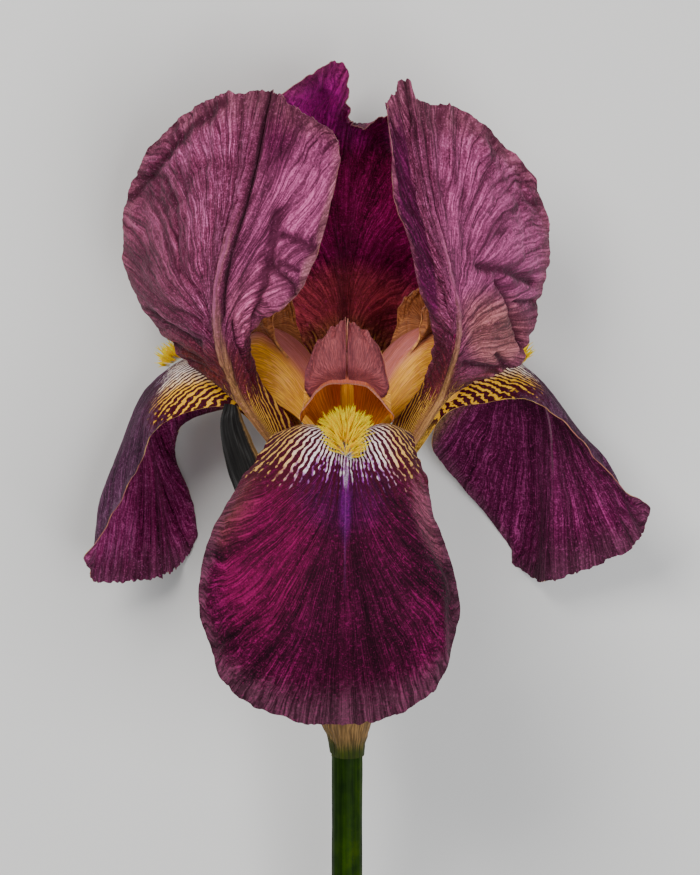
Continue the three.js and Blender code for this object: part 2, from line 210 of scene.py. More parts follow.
class Loft:
    """The smooth surface through rows of guide points, u across them from -1 to 1 and v up from 0 to 1."""

    STEP: ClassVar[float] = 0.006  # how far to each side a normal looks

    def __init__(self, rows: np.ndarray) -> None:
        """Keeps an array of rows, columns and (x, y, z)."""
        self.rows = np.asarray(rows, float)

    @staticmethod
    def weights(count: int, t: np.ndarray) -> np.ndarray:
        """How much each of count guide points counts at parameters from 0 to 1, with the ends carried on.

        Args:
            count: how many guide points stand in the row.
            t: parameters along the row.

        Returns:
            A row of count shares for each parameter.
        """
        s = np.clip(t, 0, 1) * (count - 1)
        i = np.minimum(s.astype(int), count - 2)
        f = s - i
        share = np.zeros((len(s), count + 2))
        row = np.arange(len(s))
        for k, w in enumerate((-0.5 * f**3 + f**2 - 0.5 * f, 1.5 * f**3 - 2.5 * f**2 + 1,
                               -1.5 * f**3 + 2 * f**2 + 0.5 * f, 0.5 * f**3 - 0.5 * f**2)):
            share[row, i + k] += w
        kept = share[:, 1:-1].copy()
        kept[:, 0] += 2 * share[:, 0]
        kept[:, 1] -= share[:, 0]
        kept[:, -1] += 2 * share[:, -1]
        kept[:, -2] -= share[:, -1]
        return kept

    def at(self, u: np.ndarray, v: np.ndarray) -> np.ndarray:
        """Points of the surface in mm.

        Args:
            u: places across the sheet, -1 to 1.
            v: places up it, 0 to 1.

        Returns:
            An array of (x, y, z).
        """
        up = self.weights(self.rows.shape[0], v)
        across = self.weights(self.rows.shape[1], (u + 1) / 2)
        return np.einsum("nr,rck,nc->nk", up, self.rows, across, optimize=True)

    def normal(self, u: np.ndarray, v: np.ndarray) -> np.ndarray:
        """Unit normals of the surface, out of a petal's outer face.

        Args:
            u: places across the sheet, -1 to 1.
            v: places up it, 0 to 1.

        Returns:
            An array of unit (x, y, z).
        """
        d = self.STEP
        across = self.at(np.minimum(u + d, 1), v) - self.at(np.maximum(u - d, -1), v)
        up = self.at(u, np.minimum(v + d, 1)) - self.at(u, np.maximum(v - d, 0))
        n = np.cross(across, up)
        return n / np.maximum(np.linalg.norm(n, axis=-1, keepdims=True), 1e-9)


# ---------------------------------------------------------------- meshes

FLESH_STEPS = 12     # steps in which a sheet thins towards its margin
FLESH_LEAST = 0.4    # a sheet's thickness at its margin, over that in its middle
SHEET_ANGLE = 55     # degrees, up to which a sheet is shaded smooth


def only(piece: bpy.types.Object) -> None:
    """Selects one object alone and makes it active.

    Args:
        piece: the piece.
    """
    bpy.ops.object.select_all(action="DESELECT")
    piece.select_set(True)
    bpy.context.view_layer.objects.active = piece


def named(piece: bpy.types.Object, name: str) -> bpy.types.Object:
    """Names an object and its mesh.

    Args:
        piece: the piece.
        name: its new name.

    Returns:
        The piece.
    """
    piece.name = name
    piece.data.name = name
    return piece


def places(piece: bpy.types.Object) -> np.ndarray:
    """The vertices' places, as an array.

    Args:
        piece: the piece.

    Returns:
        An array of (x, y, z), in the mesh's own units.
    """
    flat = np.empty(len(piece.data.vertices) * 3)
    piece.data.vertices.foreach_get("co", flat)
    return flat.reshape(-1, 3)


def move(piece: bpy.types.Object, points: np.ndarray) -> None:
    """Puts the vertices at points of the upright flower, in mm, laid on the table."""
    piece.data.vertices.foreach_set("co", laid(points).ravel())
    piece.data.update()


def note(piece: bpy.types.Object, name: str, values: np.ndarray) -> None:
    """Keeps a number for each vertex under a name that finishes read."""
    kept = piece.data.attributes.new(name, "FLOAT", "POINT")
    kept.data.foreach_set("value", np.asarray(values, np.float32))


def grid(name: str, across: int, up: int) -> tuple[bpy.types.Object, np.ndarray, np.ndarray]:
    """A flat grid, ready to be shaped.

    Args:
        name: the piece's name.
        across: faces across it.
        up: faces up it.

    Returns:
        The object, with each vertex's u from -1 to 1 and v from 0 to 1.
    """
    bpy.ops.object.select_all(action="DESELECT")
    bpy.ops.mesh.primitive_grid_add(x_subdivisions=across, y_subdivisions=up, size=2)
    piece = named(bpy.context.object, name)
    at = places(piece)
    return piece, at[:, 0], (at[:, 1] + 1) / 2


def thicken(piece: bpy.types.Object, thickness: float, edge: np.ndarray,
            finishes: Sequence["Finish"]) -> None:
    """Gives a sheet its thickness, thinner towards its margin, and its finishes.

    Args:
        piece: the sheet.
        thickness: mm in its middle.
        edge: for each vertex, 0 in the middle and 1 at the margin.
        finishes: those of the outer face, the inner face and the rim.
    """
    for finish in finishes:
        piece.data.materials.append(finish.material())
    flesh = piece.vertex_groups.new(name="flesh")
    levels = np.round((1 - edge) * FLESH_STEPS).astype(int)
    for level in range(FLESH_STEPS + 1):
        flesh.add(np.flatnonzero(levels == level).tolist(), level / FLESH_STEPS, "REPLACE")
    only(piece)
    bpy.ops.object.modifier_add(type="SOLIDIFY")
    solid = piece.modifiers[-1]
    solid.thickness = thickness / METRE
    solid.offset = 0
    solid.material_offset = 1
    solid.material_offset_rim = 2
    solid.vertex_group = "flesh"
    solid.thickness_vertex_group = FLESH_LEAST
    bpy.ops.object.modifier_apply(modifier=solid.name)
    piece.vertex_groups.clear()
    bpy.ops.object.shade_smooth_by_angle(angle=math.radians(SHEET_ANGLE))


def rod(name: str, sides: int, cuts: int) -> tuple[bpy.types.Object, np.ndarray, np.ndarray, np.ndarray]:
    """A cylinder cut into rings, ready to be shaped.

    Args:
        name: the piece's name.
        sides: sides round it.
        cuts: cuts along it.

    Returns:
        The object, with each vertex's angle, its level from 0 to 1 and 0 on the axis or 1 off it.
    """
    bpy.ops.object.select_all(action="DESELECT")
    bpy.ops.mesh.primitive_cylinder_add(vertices=sides, radius=1, depth=1, end_fill_type="TRIFAN")
    piece = named(bpy.context.object, name)
    bpy.ops.object.mode_set(mode="EDIT")
    bpy.ops.mesh.select_mode(type="EDGE")
    bpy.ops.mesh.select_all(action="DESELECT")
    bpy.ops.object.mode_set(mode="OBJECT")
    at = places(piece)
    for edge in piece.data.edges:
        first, last = edge.vertices
        edge.select = bool(abs(at[first][2] - at[last][2]) > 0.5)
    bpy.ops.object.mode_set(mode="EDIT")
    bpy.ops.mesh.subdivide(number_cuts=cuts)
    bpy.ops.object.mode_set(mode="OBJECT")
    at = places(piece)
    return piece, np.arctan2(at[:, 1], at[:, 0]), at[:, 2] + 0.5, np.hypot(at[:, 0], at[:, 1]).round()


def closed_right(piece: bpy.types.Object, angle: float = 50) -> None:
    """Turns a closed piece's faces outwards and shades them smooth up to an angle in degrees.

    Args:
        piece: the closed piece.
        angle: degrees, up to which it is shaded smooth.
    """
    only(piece)
    bpy.ops.object.mode_set(mode="EDIT")
    bpy.ops.mesh.select_all(action="SELECT")
    bpy.ops.mesh.normals_make_consistent(inside=False)
    bpy.ops.object.mode_set(mode="OBJECT")
    bpy.ops.object.shade_smooth_by_angle(angle=math.radians(angle))


def merged(name: str, pieces: Sequence[bpy.types.Object]) -> bpy.types.Object:
    """Joins objects into one under a name.

    Args:
        name: the whole's name.
        pieces: the objects.

    Returns:
        The whole.
    """
    bpy.ops.object.select_all(action="DESELECT")
    for piece in pieces:
        piece.select_set(True)
    bpy.context.view_layer.objects.active = pieces[0]
    bpy.ops.object.join()
    return named(pieces[0], name)


def settle(piece: bpy.types.Object, slot: Slot, *nodes: str) -> None:
    """Rides a piece on the flower and lets it stand for CAD nodes.

    Args:
        piece: the finished piece.
        slot: its material slot; not used.
        nodes: the CAD nodes it stands for.
    """
    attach(piece, "root")
    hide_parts(*nodes)
    log.info("%s: %d faces, for %s", piece.name, len(piece.data.polygons), ", ".join(nodes))


# ---------------------------------------------------------------- finishes


class Field:
    """A number that varies over a surface: a node's socket that Python's operators act on."""

    def __init__(self, graph: "Graph", socket: bpy.types.NodeSocket) -> None:
        """Keeps the socket and the graph that it is in."""
        self.graph = graph
        self.socket = socket

    def _with(self, operation: str, *values: "Field | float") -> "Field":
        """A Math node on values, of which this field is one."""
        made = self.graph.node("ShaderNodeMath", {"operation": operation}, dict(enumerate(values)))
        return self.graph.field(made)

    def __add__(self, other: "Field | float") -> "Field":
        """This and another added."""
        return self._with("ADD", self, other)

    __radd__ = __add__

    def __sub__(self, other: "Field | float") -> "Field":
        """This less another."""
        return self._with("SUBTRACT", self, other)

    def __rsub__(self, other: "Field | float") -> "Field":
        """Another less this."""
        return self._with("SUBTRACT", other, self)

    def __mul__(self, other: "Field | float") -> "Field":
        """This times another."""
        return self._with("MULTIPLY", self, other)

    __rmul__ = __mul__

    def __truediv__(self, other: "Field | float") -> "Field":
        """This over another."""
        return self._with("DIVIDE", self, other)

    def __pow__(self, other: float) -> "Field":
        """This raised to a power."""
        return self._with("POWER", self, other)

    def __abs__(self) -> "Field":
        """This without its sign."""
        return self._with("ABSOLUTE", self)

    def wave(self) -> "Field":
        """The sine of this, from 0 to 1."""
        return self._with("SINE", self) * 0.5 + 0.5

    def larger(self, other: "Field | float") -> "Field":
        """The larger of this and another."""
        return self._with("MAXIMUM", self, other)

    def turned_from(self, other: "Field | float") -> "Field":
        """The angle whose tangent is this over another."""
        return self._with("ARCTAN2", self, other)

    def step(self, low: float, high: float) -> "Field":
        """A smooth step over this field.

        Args:
            low: where it starts to rise from 0.
            high: where it reaches 1.

        Returns:
            The step, 0 to 1.
        """
        return self.graph.field(self.graph.node("ShaderNodeMapRange", {"interpolation_type": "SMOOTHSTEP"},
                                                {"Value": self, "From Min": low, "From Max": high}))


class Graph:
    """A material's nodes, drawn by short calls."""

    def __init__(self, name: str) -> None:
        """Starts an empty material.

        Args:
            name: the material's name.
        """
        self.material = bpy.data.materials.new(name)
        self.material.use_nodes = True
        self.tree = self.material.node_tree
        self.tree.nodes.clear()

    def node(self, kind: str, settings: dict | None = None, inputs: dict | None = None) -> bpy.types.Node:
        """Adds a node.

        Args:
            kind: the node's type.
            settings: its own settings, set first.
            inputs: values, fields or sockets for its inputs, by name or number.

        Returns:
            The node.
        """
        made = self.tree.nodes.new(kind)
        for key, value in (settings or {}).items():
            setattr(made, key, value)
        for key, value in (inputs or {}).items():
            if isinstance(value, Field):
                value = value.socket
            if isinstance(value, bpy.types.NodeSocket):
                self.tree.links.new(value, made.inputs[key])
            elif isinstance(value, tuple) and len(value) == 3 and made.inputs[key].type == "RGBA":
                made.inputs[key].default_value = (*value, 1)
            else:
                made.inputs[key].default_value = value
        return made

    def field(self, node: bpy.types.Node, output: int | str = 0) -> Field:
        """A node's output as a field."""
        return Field(self, node.outputs[output])

    def sheet(self) -> tuple[Field, Field]:
        """The place on a sheet: -1 to 1 across it and 0 to 1 up it."""
        split = self.node("ShaderNodeSeparateXYZ", None, {0: self.node("ShaderNodeTexCoord").outputs["UV"]})
        return self.field(split, 0) * 2 - 1, self.field(split, 1)

    def fan(self, across: Field, up: Field, curl: float, root: float) -> Field:
        """Which line a place lies on, of those that curve out from the midrib above a root."""
        return (abs(across) ** curl).turned_from((up - root).larger(VEIN_LEAST) * VEIN_SPREAD)

    def kept(self, name: str) -> Field:
        """A number kept on the mesh under a name."""
        return self.field(self.node("ShaderNodeAttribute", {"attribute_name": name}), "Fac")

    def vector(self, x: Field | float, y: Field | float, z: Field | float = 0.0) -> bpy.types.NodeSocket:
        """Three numbers as a vector."""
        return self.node("ShaderNodeCombineXYZ", None, {0: x, 1: y, 2: z}).outputs[0]

    def noise(self, place: bpy.types.NodeSocket, scale: float, detail: float = 2,
              rough: float = 0.5) -> Field:
        """Noise at a place, about 0.3 to 0.7."""
        return self.field(self.node("ShaderNodeTexNoise", None, {
            "Vector": place, "Scale": scale, "Detail": detail, "Roughness": rough}))

    def solid_noise(self, scale: float, detail: float = 3) -> Field:
        """Noise through the object's own space."""
        return self.noise(self.node("ShaderNodeTexCoord").outputs["Object"], scale, detail)

    def mix(self, share: Field | float, first: Colour | bpy.types.NodeSocket,
            second: Colour | bpy.types.NodeSocket) -> bpy.types.NodeSocket:
        """Two colours mixed, all of the second where share is 1."""
        return self.node("ShaderNodeMix", {"data_type": "RGBA"}, {0: share, 6: first, 7: second}).outputs[2]

    def bump(self, height: Field, depth: float) -> bpy.types.NodeSocket:
        """A normal that follows a height, of which 1 stands for depth mm."""
        return self.node("ShaderNodeBump", None,
                         {"Height": height, "Distance": depth / METRE, "Strength": 1.0}).outputs[0]

    def done(self, colour: bpy.types.NodeSocket, rough: Field | float, normal: bpy.types.NodeSocket | None,
             fixed: dict) -> bpy.types.Material:
        """Ends the graph in one surface.

        Args:
            colour: the base colour.
            rough: the roughness.
            normal: a bumped normal, if any.
            fixed: values of the surface that are the same all over.

        Returns:
            The material.
        """
        inputs = {"Base Color": colour, "Roughness": rough, **fixed}
        if normal is not None:
            inputs["Normal"] = normal
        surface = self.node("ShaderNodeBsdfPrincipled", None, inputs)
        self.node("ShaderNodeOutputMaterial", None, {0: surface.outputs[0]})
        return self.material


class Finish:
    """What every finish offers: one material, made once."""

    name: str
    _made: ClassVar[dict[str, bpy.types.Material]] = {}

    def material(self) -> bpy.types.Material:
        """The finish's material.

        Returns:
            The material, made at the first call.
        """
        if self.name not in Finish._made:
            Finish._made[self.name] = self.draw(Graph(self.name))
        return Finish._made[self.name]

    def draw(self, graph: Graph) -> bpy.types.Material:
        """Draws the material's nodes."""
        raise NotImplementedError


@dataclass(frozen=True)
class Wash:
    """A patch of colour on a sheet."""

    colour: Colour
    at: tuple[float, float]  # its middle, across and up
    size: tuple[float, float]  # its half sizes, across and up
    share: float = 0.8  # how much of it shows
    soft: float = 0.9  # how softly it ends, 0 to 1


@dataclass(frozen=True)
class Stripes:
    """Bold stripes on a petal's haft: dark veins on a pale ground, which fade out between two heights."""

    middle: Colour = (0.90, 0.80, 0.84)  # the ground by the midrib
    side: Colour = (0.80, 0.46, 0.10)  # the ground by the margin
    dark: Colour = (0.055, 0.002, 0.010)  # the veins
    count: float = 78.0  # turns of the wave to a radian of the fan
    fade: tuple[float, float] = (0.52, 0.62)  # heights between which they end
    width: float = 0.5  # the pale share of a stripe
    violet: Colour = (0.30, 0.01, 0.50)  # the ground where it ends
    violet_share: float = 0.0
    yellow: tuple[float, float] = (0.35, 0.75)  # where the ground turns to its side colour
    dip: float = 0.0  # how much higher they reach by the margin
    root: float = 0.22  # how far up the petal they start to fan out
    curl: float = 0.9  # how their lines curve, as the veins' curl
    net: float = 0.0  # how much neighbours run into each other


@dataclass(frozen=True)
class PetalFinish(Finish):
    """A petal's face: crumpled velvet drawn out along curving veins, with its margin, claw and midrib,
    painted shade in its creases, painted glints and a painted highlight on its keel.
    """

    name: str
    # deep is also the colour of the painted shade in the creases
    deep: Colour  # its darkest, in veins and creases
    body: Colour
    # light is the palest tone, also used for painted glints and the keel's painted highlight
    light: Colour
    margin: Colour
    claw: Colour
    claw_end: tuple[float, float] = (0.2, 0.45)  # heights between which the claw's colour ends
    rim: tuple[float, float] = (0.86, 1.0)  # where the margin's colour starts and is full
    curl: float = 0.45  # how the veins curve out, 1 for straight
    veins: float = 30.0  # streaks to a radian of the fan
    ribs: float = 120.0  # fine dark veins, as turns to a radian
    depth: float = 0.22  # mm of bump
    vein_dark: float = 0.6
    # painted glints: how much pale specks show where the velvet's papillae catch the light
    glint: float = 0.35  # how much the sparkling grains show
    midrib: Colour | None = None
    midrib_width: float = 0.02
    midrib_share: float = 0.6
    midrib_range: tuple[float, float] = (0.0, 1.0)  # heights between which it shows
    stripes: Stripes | None = None
    washes: tuple[Wash, ...] = ()
    streaks: float = 0.5  # how much the broad streaks count
    nerves: float = 45.0  # forking lines to a radian of the fan
    nerve_dark: float = 0.5
    stray: float = 0.09  # how far veins wander
    # painted light and shade on the relief: how dark the creases are painted and how bright the keel's
    # painted highlight is; any value also widens the midrib's tan foot
    painted_relief: float = 0.0  # how dark the creases are
    rough: float = 0.68
    gloss: float = 0.09
    sheen: float = 0.03

    def draw(self, graph: Graph) -> bpy.types.Material:
        """Draws the petal's nodes.

        Args:
            graph: the empty material.

        Returns:
            The material.
        """
        across, up = graph.sheet()
        side = (across.step(-0.01, 0.01) - 0.5) * 14.0     # sets the noise of the two halves apart
        wander = graph.noise(graph.vector(across * 4.0, up * 9.0, 3.1), 1.0, 2) - 0.5
        lean = graph.fan(across, up, self.curl, VEIN_ROOT) + wander * self.stray
        low = 1 - up.step(VEIN_ROOT + 0.02, VEIN_ROOT + 0.14)
        streak = self._lines(graph, lean * self.veins, across * 15.0, up * 9.0, side, low)
        thin = self._lines(graph, lean * self.veins * 2.6, across * 38.0, up * 26.0, side, low)
        fine = self._lines(graph, lean * self.veins * 6.5, across * 90.0, up * 75.0, side, low)
        grain = graph.solid_noise(2600, 2)
        cloth = graph.solid_noise(900, 3)
        broad = graph.solid_noise(95, 2)
        crease = graph.kept("crease")
        rib = (lean * self.ribs + (cloth - 0.5) * 5.0 + wander * 9.0).wave()
        vein = (1 - rib.step(0.02, 0.3)) * (thin + fine * 0.6).step(0.7, 0.85) * abs(across).step(0.01, 0.06)
        nerve = self._nerves(graph, lean * self.nerves, up, side)
        nerve = nerve.larger(self._nerves(graph, lean * self.nerves * 2.3 + 7.0, up * 1.7, side) * 0.6)
        nerve = nerve * abs(across).step(0.01, 0.05) * (1 - low)
        # tone: the velvet's random lights and darks, less painted shade wherever the sheet lies in a crease
        tone = (streak * self.streaks + thin * 1.0 + fine * 1.2 + cloth * 0.5 + grain * 0.8 + broad * 0.4
                - crease * 0.45 - 1.85 - self.streaks * 0.5)
        colour = graph.mix((tone + 0.12).step(-0.34, 0.26), self.deep, self.body)
        colour = graph.mix(tone.step(0.0, 0.5), colour, self.light)
        for wash in self.washes:
            colour = self._washed(graph, colour, wash, across, up, tone)
        edge = abs(across).larger(up * 2.0 - 1.0) + (thin - 0.5) * 0.12 + (cloth - 0.5) * 0.1
        # the margin's colour, darker in low tones; on the side falls its grey is partly their own colour and
        # partly painted sheen
        margin_and_sheen = graph.mix(tone.step(-0.3, 0.3), tuple(c * 0.4 for c in self.margin), self.margin)
        colour = graph.mix(edge.step(*self.rim) * 0.7, colour, margin_and_sheen)
        dark = (vein * self.vein_dark).larger(nerve * self.nerve_dark)
        # painted shade: deep creases darken towards the deepest colour
        dark = dark.larger(crease.step(0.15, 0.95) * self.painted_relief)
        colour = graph.mix(dark, colour, self.deep)
        if self.stripes:
            colour = self._striped(graph, colour, across, up, grain + thin - 1)
        claw = 1 - (up + (streak - 0.5) * 0.12).step(*self.claw_end)
        colour = graph.mix(claw, colour, graph.mix((thin + grain - 1).step(-0.3, 0.12), self.deep, self.claw))
        if self.midrib:
            colour = self._ribbed(graph, colour, across, up, tone, thin, wander)
        # painted glints: pale specks of the velvet's papillae, painted as if catching the light
        painted_glint = (grain + (cloth - 0.5) * 0.3).step(0.6, 0.72) * self.glint
        colour = graph.mix(painted_glint, colour, self.light)
        height = streak * 0.3 + thin * 0.4 + fine * 0.3 + grain * 0.2 + cloth * 0.5 - vein * 0.2 - nerve * 0.4
        return graph.done(colour, self.rough + (grain - 0.5) * 0.25, graph.bump(height, self.depth), {
            "Sheen Weight": self.sheen, "Sheen Roughness": 0.4, "Specular IOR Level": self.gloss})

    def _ribbed(self, graph: Graph, colour: bpy.types.NodeSocket, across: Field, up: Field, tone: Field,
                thin: Field, wander: Field) -> bpy.types.NodeSocket:
        """Lays the midrib over a colour, broad at the claw and a thin line on the blade, with a painted
        highlight along the keel.

        Args:
            graph: the material's nodes.
            colour: the colour under it.
            across: the place across the sheet, -1 to 1.
            up: the place up it, 0 to 1.
            tone: the petal's lights and darks.
            thin: its thin streaks.
            wander: a slow noise.

        Returns:
            The colour with the midrib on it.
        """
        first, last = self.midrib_range
        foot = 1 - up.step(0.42, 0.68)
        width = self.midrib_width * (foot * (6.0 if self.painted_relief else 1.2) + 1)
        line = (1 - (abs(across) / width + (thin - 0.5) * 0.8).step(0.35, 1.2)) * (foot * 0.4 + 0.6)
        strand = graph.noise(graph.vector(across * 70.0, up * 6.0, 5.5), 1.0, 2) - 0.5
        tan = graph.mix(foot, self.midrib, self.claw) if self.painted_relief else self.midrib
        tan = graph.mix((strand + tone * 0.3).step(-0.1, 0.12), graph.mix(0.6, tan, self.deep), tan)
        # painted highlight: a thin pale line along the keel's ridge on the upper blade
        lit = (1 - (abs(across) / (self.midrib_width * 0.45)).step(0.6, 1.2)) * up.step(0.56, 0.66)
        tan = graph.mix(lit * self.painted_relief, tan, self.light)
        reach = (1 - (up + wander * 0.2).step(last - 0.1, last)) * (up + 0.001).step(first, first + 0.04)
        return graph.mix(line * reach * self.midrib_share, colour, tan)

    @staticmethod
    def _lines(graph: Graph, fan: Field, across: Field, up: Field, side: Field, low: Field) -> Field:
        """Streaks that run parallel up the claw and curve out over the blade.

        Args:
            graph: the material's nodes.
            fan: which line of the fan a place lies on.
            across: the place across the sheet, -1 to 1.
            up: the place up it, 0 to 1.
            side: a step that sets the two halves apart.
            low: 1 on the claw and 0 on the blade.

        Returns:
            The streaks, 0 to 1.
        """
        blade = graph.noise(graph.vector(fan, up * 0.5, side), 1.0, 3, 0.6)
        claw = graph.noise(graph.vector(across, up * 0.5, 4.4), 1.0, 2, 0.6)
        return blade + (claw - blade) * low

    @staticmethod
    def _nerves(graph: Graph, fan: Field, up: Field, side: Field) -> Field:
        """Thin lines that run along the veins, part and meet again."""
        level = graph.noise(graph.vector(fan, up * 4.0, side), 1.0, 1)
        return 1 - (abs(level - 0.5) * 15.0).step(0.0, 1.0)

    @staticmethod
    def _washed(graph: Graph, colour: bpy.types.NodeSocket, wash: Wash, across: Field, up: Field,
                tone: Field) -> bpy.types.NodeSocket:
        """Lays a wash over a colour, keeping the petal's tones.

        Args:
            graph: the material's nodes.
            colour: the colour under it.
            wash: the wash.
            across: the place across the sheet, -1 to 1.
            up: the place up it, 0 to 1.
            tone: the petal's lights and darks.

        Returns:
            The colour with the wash on it.
        """
        x = (across - wash.at[0]) / wash.size[0]
        y = (up - wash.at[1]) / wash.size[1]
        near = 1 - (x * x + y * y + tone * (-0.35 * wash.soft)).step(1.0 - wash.soft, 1.0)
        dark = tuple(c * 0.35 for c in wash.colour)
        return graph.mix(near * wash.share, colour, graph.mix(tone.step(-0.3, 0.3), dark, wash.colour))

    def _striped(self, graph: Graph, colour: bpy.types.NodeSocket, across: Field, up: Field,
                 grain: Field) -> bpy.types.NodeSocket:
        """Lays the haft's stripes over a colour.

        Args:
            graph: the material's nodes.
            colour: the colour under it.
            across: the place across the sheet, -1 to 1.
            up: the place up it, 0 to 1.
            grain: a fine noise that frays their ends.

        Returns:
            The colour with the stripes on it.
        """
        s = self.stripes
        wobble = graph.noise(graph.vector(across * 9.0, up * 34.0, 7.7), 1.0, 2) - 0.5
        knots = graph.noise(graph.vector(across * 26.0, up * 80.0, 4.2), 1.0, 1) - 0.5
        fan = graph.fan(across, up, s.curl, s.root)
        line = (fan * s.count + wobble * (5.0 + s.net)).wave() + knots * (0.5 + s.net * 0.06)
        dip = abs(across).step(0.1, 0.75) * s.dip
        ragged = graph.noise(graph.vector(fan * 24.0, up * 3.0, 9.3), 1.0, 2) - 0.5
        reach = up - dip + (line - 0.5) * -0.04 + grain * 0.03 + ragged * 0.16 + knots * 0.1
        reach = reach.step(*s.fade)
        ground = graph.mix((abs(across) + wobble * 0.3).step(*s.yellow), s.middle, s.side)
        if s.violet_share:
            near = (1 - abs(across).step(0.15, 0.75)) * (reach + knots * 0.6).step(0.0, 0.45)
            ground = graph.mix(near * s.violet_share, ground, s.violet)
        dark = line + reach * 0.6 + abs(across).step(0.2, 0.9) * 0.3 - 0.06
        dark = dark.step(s.width - 0.14, s.width + 0.1)
        base = graph.mix(reach, s.dark, colour)
        return graph.mix((1 - dark) * (1 - reach), base, ground)


@dataclass(frozen=True)
class FleshFinish(Finish):
    """Smooth flower flesh: two colours across it, fine lengthwise lines and a third colour at its tip."""

    name: str
    middle: Colour
    side: Colour
    lines: Colour
    tip: Colour | None = None
    tip_range: tuple[float, float] = (0.6, 0.95)  # heights between which the tip's colour comes in
    band: tuple[float, float] = (0.15, 0.6)  # where the side's colour starts and is full
    count: float = 26.0  # lines across the sheet
    fanned: bool = False  # whether the lines fan out over a lobe
    cup: Colour | None = None  # colour of a lobe's outer foot
    rough: float = 0.5
    depth: float = 0.1  # mm of bump

    def draw(self, graph: Graph) -> bpy.types.Material:
        """Draws the flesh's nodes.

        Args:
            graph: the empty material.

        Returns:
            The material.
        """
        across, up = graph.sheet()
        wander = graph.noise(graph.vector(across * 2.0, up * 4.0, 2.2), 1.0, 2) - 0.5
        run = graph.kept("fan") if self.fanned else across
        streak = graph.noise(graph.vector((run + wander * 0.1) * self.count, up * 4.0, 6.1), 1.0, 3, 0.6)
        fine = graph.noise(graph.vector(run * self.count * 3, up * 30.0, 1.2), 1.0, 2)
        colour = graph.mix((abs(across) + wander * 0.3).step(*self.band), self.middle, self.side)
        if self.tip:
            colour = graph.mix((up + (streak - 0.5) * 0.25).step(*self.tip_range), colour, self.tip)
        if self.cup:
            low = graph.kept("cup") + (streak - 0.5) * 0.1 + wander * 0.12
            # painted shadow: a dark band under the lobe's edge, where the cup begins
            colour = graph.mix(low.step(0.38, 0.5), colour, self.lines)
            colour = graph.mix(low.step(0.5, 0.56), colour, self.cup)
        colour = graph.mix((1 - (abs(streak - 0.5) * 9.0).step(0.0, 1.0)) * 0.65, colour, self.lines)
        bright = tuple(min(c * 1.8, 1) for c in self.middle)
        colour = graph.mix((streak - 0.5 + fine - 0.5).step(0.0, 0.3) * 0.3, colour, bright)
        normal = graph.bump(streak * 0.7 + fine * 0.3, self.depth)
        return graph.done(colour, self.rough + (fine - 0.5) * 0.15, normal, {
            "Sheen Weight": 0.03, "Specular IOR Level": 0.16, "Subsurface Weight": 0.12,
            "Subsurface Radius": (0.9, 0.4, 0.2), "Subsurface Scale": 0.002})


@dataclass(frozen=True)
class HairFinish(Finish):
    """Beard hairs: white at the root and golden towards the tip, each a little different, with painted shade
    on the gold low down among the hairs.
    """

    name: str = "beard_hair"
    root: Colour = (0.88, 0.80, 0.66)
    # painted shade: the darker gold low down, where the other hairs shade it
    shade: Colour = (0.9, 0.28, 0.0)  # the gold, low down among the other hairs
    gold: Colour = (1.0, 0.45, 0.0)
    pale: Colour = (1.0, 0.68, 0.0)

    def draw(self, graph: Graph) -> bpy.types.Material:
        """Draws the hairs' nodes.

        Args:
            graph: the empty material.

        Returns:
            The material.
        """
        along, tone, white = graph.kept("along"), graph.kept("tone"), graph.kept("white")
        grain = graph.solid_noise(2500, 1)
        gold = graph.mix(tone, self.gold, self.pale)
        # painted shade: the gold darkens towards the root, where the hairs shade each other
        gold = graph.mix((1 - along.step(0.1, 0.6)) * 0.6, gold, self.shade)
        share = (along - white + (grain - 0.5) * 0.3).step(-0.15, 0.2)
        return graph.done(graph.mix(share, self.root, gold), 0.5 + (grain - 0.5) * 0.2, None, {
            "Specular IOR Level": 0.06, "Subsurface Weight": 0.75, "Subsurface Radius": (1.0, 0.6, 0.02),
            "Subsurface Scale": 0.002})


@dataclass(frozen=True)
class PaperFinish(Finish):
    """A dry papery bract: grey-brown, darkened with painted shade, with lengthwise fibres, blotches and a tan
    margin and foot.
    """

    name: str
    # painted shade: the body is near-black, far darker than the paper's own grey-tan, for the shade that the
    # bract lies in
    body: Colour = (0.028, 0.027, 0.026)
    dark: Colour = (0.006, 0.005, 0.005)
    silver: Colour = (0.09, 0.09, 0.09)
    tan: Colour = (0.36, 0.20, 0.07)
    green: Colour = (0.045, 0.07, 0.0005)

    def draw(self, graph: Graph) -> bpy.types.Material:
        """Draws the paper's nodes.

        Args:
            graph: the empty material.

        Returns:
            The material.
        """
        across, up = graph.sheet()
        fibre = graph.noise(graph.vector(across * 30.0, up * 5.0, 8.8), 1.0, 3, 0.65)
        blotch = graph.noise(graph.vector(across * 3.0, up * 7.0, 3.3), 1.0, 3)
        grain = graph.solid_noise(1600, 2)
        colour = graph.mix((fibre + blotch - 0.55).step(0.2, 0.75), self.dark, self.body)
        colour = graph.mix((blotch + (fibre - 0.5) * 0.8).step(0.55, 0.75) * 0.6, colour, self.silver)
        rim = (abs(across) + (grain - 0.5) * 0.1).step(0.86, 0.97)
        foot = graph.mix((up + (fibre - 0.5) * 0.1).step(0.05, 0.24), self.green, self.tan)
        foot = graph.mix((fibre * 1.5 - 0.5).step(0.1, 0.55), graph.mix(0.65, foot, self.dark), foot)
        colour = graph.mix(rim.larger(1 - (up + (fibre - 0.5) * 0.15).step(0.34, 0.46)), colour, foot)
        return graph.done(colour, 0.7 + (grain - 0.5) * 0.3, graph.bump(fibre * 0.8 + grain * 0.2, 0.16), {
            "Specular IOR Level": 0.15, "Sheen Weight": 0.03})


